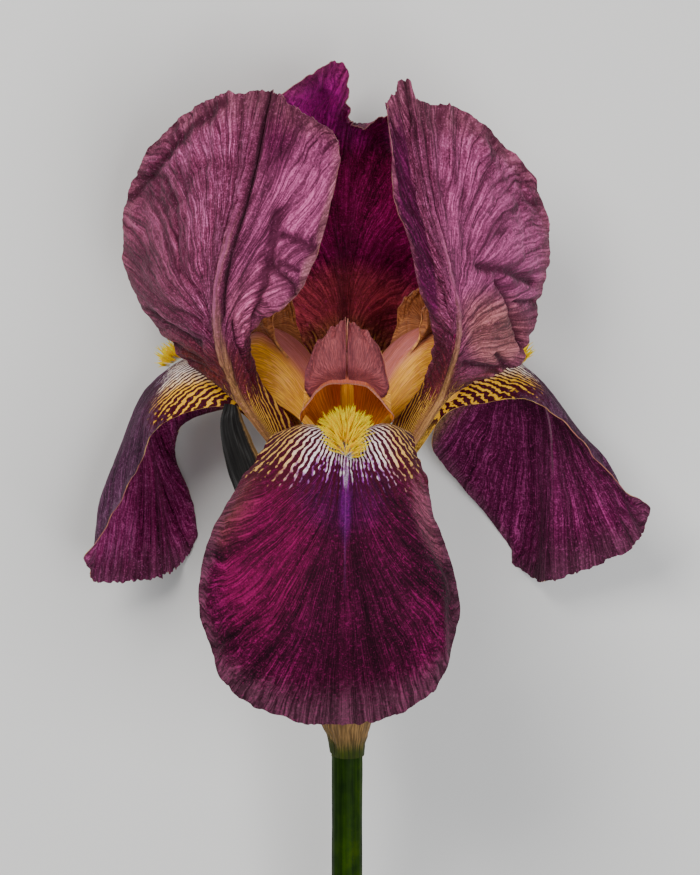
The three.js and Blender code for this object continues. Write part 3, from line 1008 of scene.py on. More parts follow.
@dataclass(frozen=True)
class GreenFinish(Finish):
    """Green stem flesh with a waxy bloom and faint lengthwise ribs."""

    name: str
    deep: Colour = (0.003, 0.012, 0.0)
    light: Colour = (0.020, 0.055, 0.0)
    bloom: Colour = (0.06, 0.085, 0.001)
    ribs: float = 11.0

    def draw(self, graph: Graph) -> bpy.types.Material:
        """Draws the stem's nodes.

        Args:
            graph: the empty material.

        Returns:
            The material.
        """
        along, turn = graph.kept("along"), graph.kept("turn")
        fibre = graph.noise(graph.vector(turn * self.ribs, along * 3.0, 1.1), 1.0, 3, 0.6)
        blotch = graph.solid_noise(160, 3)
        grain = graph.solid_noise(1800, 2)
        colour = graph.mix((fibre * 0.7 + blotch * 0.6 - 0.15).step(0.25, 0.75), self.deep, self.light)
        colour = graph.mix((blotch + grain * 0.4 - 0.2).step(0.45, 0.7) * 0.22, colour, self.bloom)
        return graph.done(colour, 0.55 + (grain - 0.5) * 0.25, graph.bump(fibre * 0.7 + grain * 0.3, 0.1), {
            "Specular IOR Level": 0.07})


@dataclass(frozen=True)
class CutFinish(Finish):
    """The stem's cut: pale wet pith with darker strands."""

    name: str = "stem_cut"
    pith: Colour = (0.42, 0.48, 0.22)
    strand: Colour = (0.12, 0.18, 0.05)

    def draw(self, graph: Graph) -> bpy.types.Material:
        """Draws the cut's nodes.

        Args:
            graph: the empty material.

        Returns:
            The material.
        """
        cells = graph.field(graph.node("ShaderNodeTexVoronoi", {"feature": "F1"}, {
            "Vector": graph.node("ShaderNodeTexCoord").outputs["Object"], "Scale": 1500.0}))
        grain = graph.solid_noise(900, 3)
        colour = graph.mix((cells + (grain - 0.5) * 0.5).step(0.15, 0.5), self.strand, self.pith)
        return graph.done(colour, 0.35 + (grain - 0.5) * 0.2, graph.bump(cells, 0.05), {
            "Specular IOR Level": 0.5})


@dataclass(frozen=True)
class TableFinish(Finish):
    """A plain pale table top."""

    name: str = "table"
    pale: Colour = (0.74, 0.735, 0.72)
    grey: Colour = (0.68, 0.675, 0.66)

    def draw(self, graph: Graph) -> bpy.types.Material:
        """Draws the table's nodes.

        Args:
            graph: the empty material.

        Returns:
            The material.
        """
        grain = graph.solid_noise(60, 4)
        colour = graph.mix(grain * 0.06, self.pale, self.grey)
        return graph.done(colour, 0.7 + (grain - 0.5) * 0.1, None, {"Specular IOR Level": 0.25})


# ---------------------------------------------------------------- petals


@dataclass(frozen=True)
class Wave:
    """The waves of a petal's free margin."""

    count: float  # waves to a radian round the blade's middle
    depth: float  # mm
    phase: float  # radians
    start: float  # how far up the petal they start


@dataclass
class Petal:
    """One petal: a sheet lofted from its claw to its free margin, waved, folded into creases and thickened.
    """

    name: str
    azimuth: float  # degrees round the axis
    guide: Guide
    wave: Wave
    seed: int
    finishes: Sequence[Finish] = ()  # of the outer face, the inner face and the rim
    folds: Sequence["Fold"] = ()
    notches: Sequence[tuple[float, float, float]] = ()  # in the top margin: two places and a depth
    across: int = 160  # faces across the sheet
    up: int = 210  # faces up it
    thickness: float = 0.42  # mm
    square: float = 60.0  # how square its far corners are
    slot: ClassVar[Slot] = Slot.FALL
    curl: ClassVar[float] = 0.45  # how the veins curve out, 1 for straight
    BLADE: ClassVar[float] = 0.35  # how far up the petal the blade's middle lies
    TALL: ClassVar[float] = 1.6  # how much taller than wide the blade is
    LONG: ClassVar[float] = 4.3  # the sheet's length over its half width
    NARROW: ClassVar[float] = 11.0  # mm of half width under which folds are eased

    def __post_init__(self) -> None:
        """Lofts the guide points, from the claw's foot on the tube's rim."""
        foot = np.stack([around(self.azimuth + t, 0.0, RIM, FOOT) for t in np.degrees(CROSS * CLAW / RIM)])
        self.loft = Loft(np.concatenate([foot[None], DRAWING.points(self.guide)]))
        self.noise = Ripple(self.seed)

    def edge(self, u: np.ndarray, v: np.ndarray) -> np.ndarray:
        """How near a place is to the free margin, 1 on it."""
        return np.maximum(np.abs(u), (v - self.BLADE) / (1 - self.BLADE))

    def turn(self, u: np.ndarray, v: np.ndarray) -> np.ndarray:
        """The angle of a place round the blade's middle, which runs along the free margin."""
        return np.arctan2((v - self.BLADE) * self.TALL, u)

    def waved(self, u: np.ndarray, v: np.ndarray) -> np.ndarray:
        """How far the margin's waves lift the sheet, in mm: the same waves as the solid's.

        Args:
            u: places across the sheet, -1 to 1.
            v: places up it, 0 to 1.

        Returns:
            The lift in mm, out of the outer face.
        """
        w = self.wave
        fade = smooth(0.45, 1, self.edge(u, v)) * smooth(w.start, w.start + 0.25, v)
        return w.depth * fade * np.sin(w.count * self.turn(u, v) + w.phase)

    def lean(self, u: np.ndarray, v: np.ndarray) -> np.ndarray:
        """Which vein a place lies on: veins curve out from the midrib to the margin.

        Args:
            u: places across the sheet, -1 to 1.
            v: places up it, 0 to 1.

        Returns:
            An angle for each place, with the side's sign.
        """
        rise = np.maximum(v - VEIN_ROOT, VEIN_LEAST) * VEIN_SPREAD
        return np.sign(u) * np.arctan2(np.abs(u) ** self.curl, rise)

    def folded(self, u: np.ndarray, v: np.ndarray) -> tuple[np.ndarray, np.ndarray]:
        """The named folds.

        Args:
            u: places across the sheet, -1 to 1.
            v: places up it, 0 to 1.

        Returns:
            How far they sink the sheet in mm, and how deep in one each place is, from 0 to 1.
        """
        sunk, deep = np.zeros_like(u), np.zeros_like(u)
        for fold in self.folds:
            off = np.full_like(u, np.inf)
            for (u0, v0), (u1, v1) in zip(fold.line, fold.line[1:]):
                du, dv = u1 - u0, (v1 - v0) * self.LONG
                t = np.clip(((u - u0) * du + (v - v0) * self.LONG * dv) / (du * du + dv * dv), 0, 1)
                off = np.minimum(off, np.hypot(u - u0 - t * du, (v - v0) * self.LONG - t * dv))
            share = np.exp(-(off / fold.width) ** 2)
            sunk += fold.depth * share
            deep = np.maximum(deep, share if fold.depth > 0 else 0)
        return sunk, deep

    def trimmed(self, u: np.ndarray, v: np.ndarray) -> tuple[np.ndarray, np.ndarray]:
        """Rounds the sheet's far corners and nicks its margin as a real one is.

        Args:
            u: places across the sheet, -1 to 1.
            v: places up it, 0 to 1.

        Returns:
            The places that the sheet then has, across and up.
        """
        a, b = np.abs(u), np.clip((v - 0.7) / 0.3, 0, 1)
        far = np.maximum(a, b)
        pull = (1 - far / np.maximum((a**self.square + b**self.square) ** (1 / self.square), 1e-6)) * far**6
        u, v = u * (1 - pull), v - 0.3 * b * pull
        turn = self.turn(u, v)
        nick = 0.35 + 0.5 * self.noise.at(turn * 26 + 3, 5.5) + 0.4 * self.noise.at(turn * 67, 9.5)
        cut = 0.011 * np.maximum(nick, 0) * smooth(0.35, 0.6, v)
        down = np.zeros_like(u)
        for start, end, depth in self.notches:
            down += depth * smooth(start, start + 0.035, u) * (1 - smooth(start + 0.1, end, u))
        return u * (1 - cut * np.abs(u) ** 5), v - (cut * 0.7 + down) * v**6

    def relief(self, u: np.ndarray, v: np.ndarray) -> tuple[np.ndarray, np.ndarray]:
        """The sheet's own folds.

        Args:
            u: places across the sheet.
            v: places up it.

        Returns:
            The lift in mm, and how deep in a crease each place is, from 0 to 1.
        """
        raise NotImplementedError

    def calm(self, u: np.ndarray, v: np.ndarray) -> np.ndarray:
        """How much of the relief the sheet carries, from 0.2 where it is drawn narrow to 1.

        Args:
            u: places across the sheet, -1 to 1.
            v: places up it, 0 to 1.

        Returns:
            A share for each place.
        """
        low, high = np.maximum(u - 0.05, -1), np.minimum(u + 0.05, 1)
        pace = np.linalg.norm(self.loft.at(high, v) - self.loft.at(low, v), axis=-1) / (high - low)
        return np.clip(pace / self.NARROW, 0.2, 1)

    def points(self, u: np.ndarray, v: np.ndarray) -> tuple[np.ndarray, np.ndarray]:
        """Points of the finished sheet in mm, and their creases.

        Args:
            u: places across the sheet, -1 to 1.
            v: places up it, 0 to 1.

        Returns:
            An array of (x, y, z), and how deep in a crease each point is, from 0 to 1.
        """
        lift, crease = self.relief(u, v)
        sunk, deep = self.folded(u, v)
        middle = self.loft.at(*self.trimmed(u, v))
        normal = self.loft.normal(u, v)
        body = middle + normal * (self.waved(u, v) + (lift - sunk) * self.calm(u, v))[:, None]
        return lifted(body, self.thickness / 2 + 0.03), np.maximum(crease, deep)

    def build(self) -> bpy.types.Object:
        """Builds the petal.

        Returns:
            The finished piece.
        """
        piece, u, v = grid(self.name, self.across, self.up)
        points, crease = self.points(u, v)
        move(piece, points)
        # the petal's finish paints shade into these creases
        note(piece, "crease", crease)
        thicken(piece, self.thickness, smooth(0.7, 1.0, np.maximum(np.abs(u), v)), self.finishes)
        settle(named(piece, f"petal_{self.name}"), self.slot, self.name)
        return piece


@dataclass(frozen=True)
class Fold:
    """A fold in a petal."""

    line: tuple[tuple[float, float], ...]  # its places, across and up
    width: float  # its half width, as a share of the petal's
    depth: float  # mm, negative for a ridge


@dataclass
class Fall(Petal):
    """A fall: a haft that arches out over the beard and a broad blade that hangs."""

    def relief(self, u: np.ndarray, v: np.ndarray) -> tuple[np.ndarray, np.ndarray]:
        """Soft swells, raised veins that fan to the margin, and a crimped edge.

        Args:
            u: places across the sheet, -1 to 1.
            v: places up it, 0 to 1.

        Returns:
            The lift in mm, and how deep in a crease each place is, from 0 to 1.
        """
        lean, turn = self.lean(u, v), self.turn(u, v)
        blade = smooth(0.38, 0.6, v)
        edge = smooth(0.7, 1, np.maximum(np.abs(u), v))
        swell = 0.45 * self.noise.at(u * 2.2 + 7, v * 4) * blade
        vein = self.noise.creases(lean * 13, v * 2.4 + 11, 4)
        pucker = self.noise.at(lean * 19 + 3, v * 15) * (0.08 + 0.22 * edge)
        pucker = pucker + 0.05 * self.noise.at(u * 40, v * 70)
        crimp = 0.5 * edge**2 * self.noise.at(turn * 17, 2.5) + 0.26 * edge**3 * self.noise.at(turn * 40, 7.5)
        rib = 0.2 * np.exp(-(u / 0.03) ** 2) * smooth(0.55, 0.75, v)
        return swell + blade * (pucker + crimp) + 0.24 * vein * blade + rib, vein * blade * 0.6


@dataclass
class Standard(Petal):
    """A standard: a rolled claw, a raised keel and a domed, crumpled blade."""

    slot: ClassVar[Slot] = Slot.STANDARD
    curl: ClassVar[float] = 0.32
    crumple: float = 0.8  # mm that crumples sink
    keel: float = 0.8  # mm that the midrib stands out
    keel_top: float = 0.8  # how far up the petal it ends

    def relief(self, u: np.ndarray, v: np.ndarray) -> tuple[np.ndarray, np.ndarray]:
        """Broad folds, sharp wrinkles along the veins, crumples across them and a frilled edge.

        Args:
            u: places across the sheet, -1 to 1.
            v: places up it, 0 to 1.

        Returns:
            The lift in mm, and how deep in a crease each place is, from 0 to 1.
        """
        lean, turn = self.lean(u, v), self.turn(u, v)
        blade = smooth(0.3, 0.5, v)
        edge = smooth(0.62, 1, np.maximum(np.abs(u), v))
        bend = lean + 0.05 * self.noise.at(u * 3 + 5, v * 8)
        broad = 0.8 * self.noise.at(u * 1.8 + 9, v * 6) + 0.35 * self.noise.at(u * 4 + 2, v * 13 + 5)
        wrinkle = self.noise.creases(bend * 9 + 2, v * 2.3 + 4, 5)
        thin = self.noise.creases(bend * 21 + 8, v * 4.5, 4)
        dents = self.noise.creases(u * 3.4 + 7, v * 15 + 3, 6)
        pucker = self.noise.at(u * 11, v * 44 + 6) * 0.16 + self.noise.at(u * 26, v * 90) * 0.08
        frill = 0.7 * edge**2 * self.noise.at(turn * 13, 3.5) + 0.34 * edge**3 * self.noise.at(turn * 36, 8.5)
        ridge = np.exp(-(u / 0.045) ** 2) - 0.6 * np.exp(-((np.abs(u) - 0.11) / 0.05) ** 2)
        top = 1 - smooth(self.keel_top - 0.15, self.keel_top + 0.05, v)
        ridge = ridge * self.keel * top * smooth(0.1, 0.3, v)
        rough = self.crumple * (0.35 + 0.65 * edge)
        leather = 0.22 * self.noise.at(bend * 30, v * 34) + 0.12 * self.noise.at(u * 44 + 3, v * 150)
        lift = blade * (broad + pucker + leather + frill - 0.55 * wrinkle - rough * 0.7 * dents)
        deep = np.maximum(np.maximum(wrinkle * 0.7, dents * rough * 0.55), thin * 0.45)
        return lift - 0.18 * thin + ridge, deep * blade


# ---------------------------------------------------------------- style arms, stamens and beards


@dataclass
class StyleArm:
    """A style arm: an arch over its stamen, with two crest lobes at its end.

    The keel's rows are mm out from the axis, mm up it, half the width, and how far the margins lie further
    out and higher. The crest's rows and the seat run from a lobe's outer margin to its inner one.
    """

    place: str
    azimuth: float
    seed: int
    upper: Finish
    under: Finish
    rim: Finish
    crest_front: Finish
    crest_back: Finish
    keel: Sequence[tuple[float, float, float, float, float]] = (
        (1.35, 0.45, 0.8, 0.15, 0), (2.6, 12, 2.6, 0.6, -0.3), (4.5, 22, 5.6, 1.8, -1.5),
        (8.5, 32, 8.8, 2.6, -6.2), (14.5, 38.5, 9.8, 1.4, -11.6), (21, 40.5, 10, -0.4, -14.2),
        (26.5, 36, 9.9, -2.5, -6.6))
    crest: Sequence[Sequence[tuple[float, float, float]]] = (
        ((9.2, 25.4, 36.2), (5.0, 27.2, 38.9), (0.15, 27.6, 40.2)),
        ((7.4, 24.6, 43.0), (4.2, 26.0, 45.0), (0.12, 26.2, 45.8)),
        ((5.2, 23.2, 46.6), (2.7, 24.0, 48.4), (0.15, 24.2, 50.0)))
    seat: Sequence[tuple[float, float]] = ((0.98, 0.975), (0.5, 0.975), (0.04, 0.975))
    thickness: float = 0.5

    def __post_init__(self) -> None:
        """Lofts the arch."""
        self.arch = Loft(np.array([
            around(self.azimuth, CROSS * half, out + out_drop * CROSS**2,
                   height + drop * np.abs(CROSS) ** 2.7)
            for out, height, half, out_drop, drop in self.keel]))
        self.noise = Ripple(self.seed)

    def build(self) -> bpy.types.Object:
        """Builds the arm and joins its lobes to it.

        Returns:
            The finished piece.
        """
        name = f"style_{self.place}"
        parts = [self._arch(name), *(self._lobe(side) for side in (-1, 1))]
        piece = merged(name, parts)
        settle(named(piece, f"arm_{name}"), Slot.STYLE, name)
        return piece

    def _arch(self, name: str) -> bpy.types.Object:
        """The arch, with a raised keel and softly frilled margins.

        Args:
            name: the arm's name.

        Returns:
            The arch alone.
        """
        piece, u, v = grid(name, 64, 110)
        edge = smooth(0.6, 1, np.abs(u))
        frill = 0.5 * edge**2 * smooth(0.3, 0.6, v) * self.noise.at(v * 15 + np.sign(u) * 4, 3.5)
        ridge = 0.3 * np.exp(-(u / 0.08) ** 2) * smooth(0.15, 0.4, v)
        swell = 0.35 * self.noise.at(u * 2 + 4, v * 5) * smooth(0.2, 0.5, v)
        lift = swell + frill + 0.12 * self.noise.at(u * 9, v * 6 + 2) - ridge
        middle = self.arch.at(u, v)
        move(piece, lifted(middle + self.arch.normal(u, v) * lift[:, None], self.thickness))
        note(piece, "crease", edge)
        thicken(piece, self.thickness, edge, (self.under, self.upper, self.rim))
        return piece

    def _lobe(self, side: int) -> bpy.types.Object:
        """One crest lobe, frilled and toothed along its free margin.

        Args:
            side: -1 for the left lobe and 1 for the right.

        Returns:
            The lobe alone.
        """
        across, along = np.array(self.seat).T
        outer = self.arch.at(side * across, along)
        steps, outs, heights = np.moveaxis(np.array(self.crest), -1, 0)
        rows = np.concatenate([outer[None], around(self.azimuth, side * steps, outs, heights)])
        loft = Loft(rows if side < 0 else rows[:, ::-1])
        piece, u, v = grid(f"crest_{side}", 60, 56)
        away = u * side      # 1 on the outer margin and -1 on the inner one
        teeth = 0.5 + 0.5 * self.noise.at(u * 4 + side * 9, 4.5) + 0.35 * self.noise.at(u * 10, 6.5 + side)
        top = v * (1 - 0.10 * smooth(0.5, 1, v) * teeth - 0.1 * smooth(0.0, 1.0, away) * v**4)
        out = u * (1 - 0.06 * smooth(0.6, 1, away) * (1 + self.noise.at(v * 9, 2.5 + side)))
        free = np.maximum(smooth(0.35, 1, v), smooth(0.4, 1, away) * smooth(0.15, 0.4, v))
        lift = (1.0 * free**1.5 * self.noise.at(u * 3.2 + 7 * side, v * 2.4)
                + 0.5 * free**2 * self.noise.at(u * 8, v * 5 + side) + 0.1 * self.noise.at(u * 12, v * 5))
        move(piece, lifted(loft.at(out, top) + loft.normal(u, v) * lift[:, None], self.thickness))
        note(piece, "crease", free)
        note(piece, "fan", np.arctan2(1 + away, 2 * v + 0.25))
        note(piece, "cup", away - 1.8 * v)      # high at the outer foot, by the arm's wall
        thicken(piece, self.thickness, free, (self.crest_front, self.crest_back, self.rim))
        return piece


@dataclass
class Stamen:
    """A stamen under a style arm: a slim filament and a long anther of two pollen sacs.

    The path's rows are mm out from the axis, mm up it, and half the width and half the depth there.
    """

    place: str
    azimuth: float
    finish: Finish
    path: Sequence[tuple[float, float, float, float]] = (
        (3.1, 0.38, 0.55, 0.55), (4.6, 9, 0.6, 0.5), (8.6, 18.5, 0.6, 0.5), (13.6, 27, 0.55, 0.5),
        (14.6, 28.6, 1.3, 0.8), (17.6, 31.6, 1.5, 0.9), (20.6, 34.2, 1.4, 0.85), (22.4, 35.6, 0.7, 0.5))
    STEP: ClassVar[float] = 0.01  # how far to each side the path's direction looks

    def build(self) -> bpy.types.Object:
        """Builds the stamen.

        Returns:
            The finished piece.
        """
        name = f"stamen_{self.place}"
        piece, turn, level, off = rod(name, 20, 90)
        table = np.array(self.path)
        share = Loft.weights(len(table), level)
        out, height, wide, deep = (share @ table).T
        step = (Loft.weights(len(table), np.minimum(level + self.STEP, 1))
                - Loft.weights(len(table), np.maximum(level - self.STEP, 0))) @ table
        ahead = around(self.azimuth, 0.0, step[:, 0], step[:, 1])
        ahead /= np.linalg.norm(ahead, axis=1, keepdims=True)
        sideways = np.broadcast_to(around(self.azimuth, 1.0, 0.0, 0.0), ahead.shape)
        deepways = np.cross(ahead, sideways)
        sac = smooth(0.5, 0.58, level)
        groove = 1 - 0.55 * sac * np.exp(-(np.cos(turn) / 0.28) ** 2)
        end = off * np.sqrt(np.clip(1 - np.clip((level - 0.97) / 0.03, 0, 1) ** 2, 0.02, 1))
        points = (around(self.azimuth, 0.0, out, height)
                  + sideways * (wide * np.cos(turn) * end)[:, None]
                  + deepways * (deep * np.sin(turn) * groove * end)[:, None])
        move(piece, points)
        note(piece, "along", level)
        piece.data.materials.append(self.finish.material())
        closed_right(piece, 60)
        settle(named(piece, f"fine_{name}"), Slot.STAMEN, name)
        return piece


@dataclass
class Beard:
    """A beard: a bush of thick hairs down the middle of a fall's haft."""

    place: str
    fall: Petal
    finish: Finish
    seed: int
    start: float = 0.25  # how far up the fall the beard starts
    end: float = 0.535  # and ends
    hairs: int = 620
    length: float = 5.0  # mm
    radius: float = 0.12  # mm
    half: float = 1.9  # mm, half the width of the hairs' bed

    def hair(self) -> bpy.types.Object:
        """One hair, standing on the origin and 1 mm tall, with a blunt tip.

        Returns:
            The hair.
        """
        piece, turn, level, off = rod("hair", 5, 4)
        radius = off * np.interp(level, [0, 0.25, 0.7, 0.9, 1], [0.8, 1, 0.9, 0.75, 0.35])
        points = np.stack([radius * np.cos(turn), radius * np.sin(turn), level], -1)
        piece.data.vertices.foreach_set("co", points.ravel())
        bpy.ops.object.shade_smooth()
        return piece

    def stand(self, draw: np.random.Generator, order: np.ndarray,
              sides: np.ndarray) -> tuple[np.ndarray, np.ndarray, np.ndarray]:
        """Where the hairs stand on the fall's midrib and which way they point.

        Args:
            draw: the beard's random draws.
            order: each hair's place along the beard, 0 to 1.
            sides: its place across it, -1 to 1.

        Returns:
            Their roots in mm, their unit ways, and the way across the fall at each.
        """
        middle = np.zeros_like(order)
        v = self.start + (self.end - self.start) * order
        seat = self.fall.loft
        n = -seat.normal(middle, v)
        ahead = seat.at(middle, v + 0.01) - seat.at(middle, v - 0.01)
        ahead /= np.linalg.norm(ahead, axis=1, keepdims=True)
        side = np.cross(ahead, n)
        width = self.half * np.sqrt(np.clip(1 - (2 * order - 1) ** 4, 0.1, 1))
        high = 0.3 + 1.1 * (1 - sides**2)
        root = seat.at(middle, v) + side * (sides * width)[:, None] + n * high[:, None]
        lean = sides * (1.1 + 0.9 * order) + draw.normal(0, 0.16, self.hairs)
        back = 0.9 - 0.9 * order + draw.normal(0, 0.16, self.hairs)
        way = n + side * lean[:, None] - ahead * back[:, None]
        return root, way / np.linalg.norm(way, axis=1, keepdims=True), side

    def grown(self, model: bpy.types.Object, root: np.ndarray, way: np.ndarray, side: np.ndarray,
              long: float, bend: np.ndarray) -> bpy.types.Object:
        """A copy of the hair, grown on the fall.

        Args:
            model: the hair.
            root: where it stands, in mm.
            way: the unit way that it points.
            side: the way across the fall.
            long: its length in mm.
            bend: how far its tip bends each way, over its length.

        Returns:
            The copy, with its own mesh.
        """
        copy = model.copy()
        copy.data = model.data.copy()
        bpy.context.collection.objects.link(copy)
        first = np.cross(way, side + 0.01)
        first /= np.linalg.norm(first)
        second = np.cross(way, first)
        x, y, level = places(copy).T
        move(copy, root + way * (level * long)[:, None]
             + first * (x * self.radius + bend[0] * long * level**2)[:, None]
             + second * (y * self.radius + bend[1] * long * level**2)[:, None])
        note(copy, "along", level)
        return copy

    def build(self) -> bpy.types.Object:
        """Builds the beard from copies of one hair.

        Returns:
            The finished piece.
        """
        name = f"beard_{self.place}"
        model = self.hair()
        draw = np.random.default_rng(self.seed)
        order = (np.arange(self.hairs) + draw.uniform(0, 1, self.hairs)) / self.hairs
        sides = draw.uniform(-1, 1, self.hairs)
        root, way, side = self.stand(draw, order, sides)
        long = self.length * draw.uniform(0.72, 1.12, self.hairs) * (1 - 0.3 * np.abs(2 * order - 1) ** 3)
        bend = draw.normal(0, 0.09, (self.hairs, 2))
        tone = draw.uniform(0, 1, self.hairs)
        white = -0.15 + 0.5 * order**6 + draw.normal(0, 0.06, self.hairs)
        copies = []
        for i in range(self.hairs):
            copy = self.grown(model, root[i], way[i], side[i], long[i], bend[i])
            for key, value in (("tone", tone[i]), ("white", white[i])):
                note(copy, key, np.full(len(copy.data.vertices), value))
            copies.append(copy)
        bpy.data.objects.remove(model)
        piece = merged(name, copies)
        piece.data.materials.append(self.finish.material())
        settle(named(piece, f"hairs_{name}"), Slot.BEARD, name)
        return piece


# ---------------------------------------------------------------- below the petals


@dataclass
class OvaryTube:
    """The ovary with its three rounded lobes and the flower tube that widens to carry the petals.

    The profile's rows are mm up the axis, the radius, and how far the lobes stand out, as a share of it.
    """

    finish: Finish
    profile: Sequence[tuple[float, float, float]] = (
        (-46.2, 0.4, 0), (-46.2, 1.6, 0.05), (-46.1, 2.4, 0.06), (-45.2, 2.7, 0.07), (-43, 3.3, 0.09),
        (-38, 3.9, 0.1), (-32, 4.1, 0.1), (-27, 3.5, 0.08), (-22, 2.7, 0.04), (-15, 2.5, 0), (-8, 2.8, 0),
        (-3, 4.2, 0), (-1, 5.2, 0), (0, 5.3, 0), (0.05, 4.4, 0), (-1.2, 2.6, 0), (-3.0, 1.2, 0),
        (-3.4, 0.3, 0))
    GRAIN: ClassVar[float] = 50  # mm to a unit of the finish's lengthwise pattern

    def build(self) -> bpy.types.Object:
        """Builds the ovary and tube.

        Returns:
            The finished piece.
        """
        piece, turn, level, off = rod("ovary_tube", 66, 150)
        height, radius, lobes = (Loft.weights(len(self.profile), level) @ np.array(self.profile)).T
        noise = Ripple(71)
        skin = 0.05 * noise.at(np.cos(turn) * 4 + 9, height * 0.6) + 0.05 * np.cos(turn * 6) * (lobes > 0.02)
        radius = off * np.maximum(radius * (1 + lobes * np.cos(3 * turn)) + skin * smooth(1, 2.5, radius),
                                  0.05)
        move(piece, around(np.degrees(turn), 0.0, radius, height))
        note(piece, "along", height / self.GRAIN + 1)
        note(piece, "turn", np.abs(turn) / math.pi)
        piece.data.materials.append(self.finish.material())
        closed_right(piece)
        settle(named(piece, "ovary_and_tube"), Slot.OVARY, "ovary_tube")
        return piece


@dataclass
class Stem:
    """The cut stem: round, faintly ribbed, cut at a slant.

    The profile's rows are mm up the axis and the radius.
    """

    skin: Finish
    pith: Finish
    slant: float = 2.4  # mm that the cut rises and falls
    slanted: float = 17  # mm of stem over which the slant dies out
    cuts: int = 180  # cuts along it
    pith_rings: int = 36  # rings at its foot that belong to the cut
    GRAIN: ClassVar[float] = 57  # mm to a unit of the finish's lengthwise pattern
    profile: Sequence[tuple[float, float]] = (
        (-103, 0.3), (-103.05, 1.4), (-103, 2.5), (-103, 3.15), (-102.85, 3.38), (-102.2, 3.42), (-97, 3.42),
        (-88, 3.42), (-79, 3.4), (-70, 3.37), (-63, 3.39), (-57, 3.42), (-53.5, 3.38), (-51, 3.25),
        (-49, 2.92), (-47.2, 2.8), (-46.6, 2.6), (-46.5, 1.4), (-46.5, 0.3))

    def build(self) -> bpy.types.Object:
        """Builds the stem and its cut.

        Returns:
            The finished piece.
        """
        piece, turn, level, off = rod("stem", 72, self.cuts)
        foot = self.profile[0][0]
        height, radius = (Loft.weights(len(self.profile), level) @ np.array(self.profile)).T
        side = smooth(3.0, 3.4, radius)
        noise = Ripple(83)
        rib = 0.035 * np.cos(turn * 13 + 0.6 * noise.at(height * 0.05, 3.5)) + 0.05 * noise.at(
            np.cos(turn) * 2 + 5, height * 0.16 + np.sin(turn))
        radius = off * (radius + rib * side)
        near = 1 - np.clip((height - foot) / self.slanted, 0, 1)
        height = height + self.slant * np.cos(turn) * np.minimum(radius / 3.42, 1) * near
        move(piece, around(np.degrees(turn), 0.0, radius, height))
        note(piece, "along", (height - foot) / self.GRAIN)
        note(piece, "turn", np.abs(turn) / math.pi)
        piece.data.materials.append(self.skin.material())
        piece.data.materials.append(self.pith.material())
        ring = np.round(level * (self.cuts + 1)).astype(int)
        for face in piece.data.polygons:
            face.material_index = int(max(ring[i] for i in face.vertices) <= self.pith_rings)
        closed_right(piece, 40)
        settle(named(piece, "cut_stem"), Slot.STEM, "stem")
        return piece


@dataclass
class Bract:
    """A papery bract wrapped round the ovary."""

    name: str
    rows: np.ndarray  # guide points in mm, from its foot to its tip
    seed: int
    finish: Finish
    thickness: float = 0.4  # mm

    @staticmethod
    def wrap(first: float, last: float, radius: float | Sequence[float], height: float) -> np.ndarray:
        """A row of guide points round the flower's axis between two azimuths."""
        return around(np.linspace(first, last, len(CROSS)), 0.0, np.asarray(radius, float), height)

    def build(self) -> bpy.types.Object:
        """Builds the bract, ribbed along its length and crinkled.

        Returns:
            The finished piece.
        """
        piece, u, v = grid(self.name, 72, 190)
        loft, noise = Loft(self.rows), Ripple(self.seed)
        edge = smooth(0.75, 1, np.abs(u))
        lift = (0.06 * np.cos(u * 34 + noise.at(v * 3, 1.5)) + 0.22 * noise.at(u * 3, v * 11)
                + 0.12 * noise.at(u * 9, v * 28) + 0.35 * edge * noise.at(v * 22 + np.sign(u) * 3, 2.5)
                - 0.15 * noise.creases(u * 5, v * 5, 5)) * smooth(0.02, 0.2, v)
        nick = 0.02 * edge * (1 + noise.at(v * 40, 6.5 + np.sign(u)))
        points = loft.at(u * (1 - nick), v) + loft.normal(u, v) * lift[:, None]
        move(piece, lifted(points, self.thickness))
        note(piece, "crease", edge)
        thicken(piece, self.thickness, edge, (self.finish, self.finish, self.finish))
        settle(named(piece, f"papery_{self.name}"), Slot.BRACT, self.name)
        return piece


# ---------------------------------------------------------------- studio


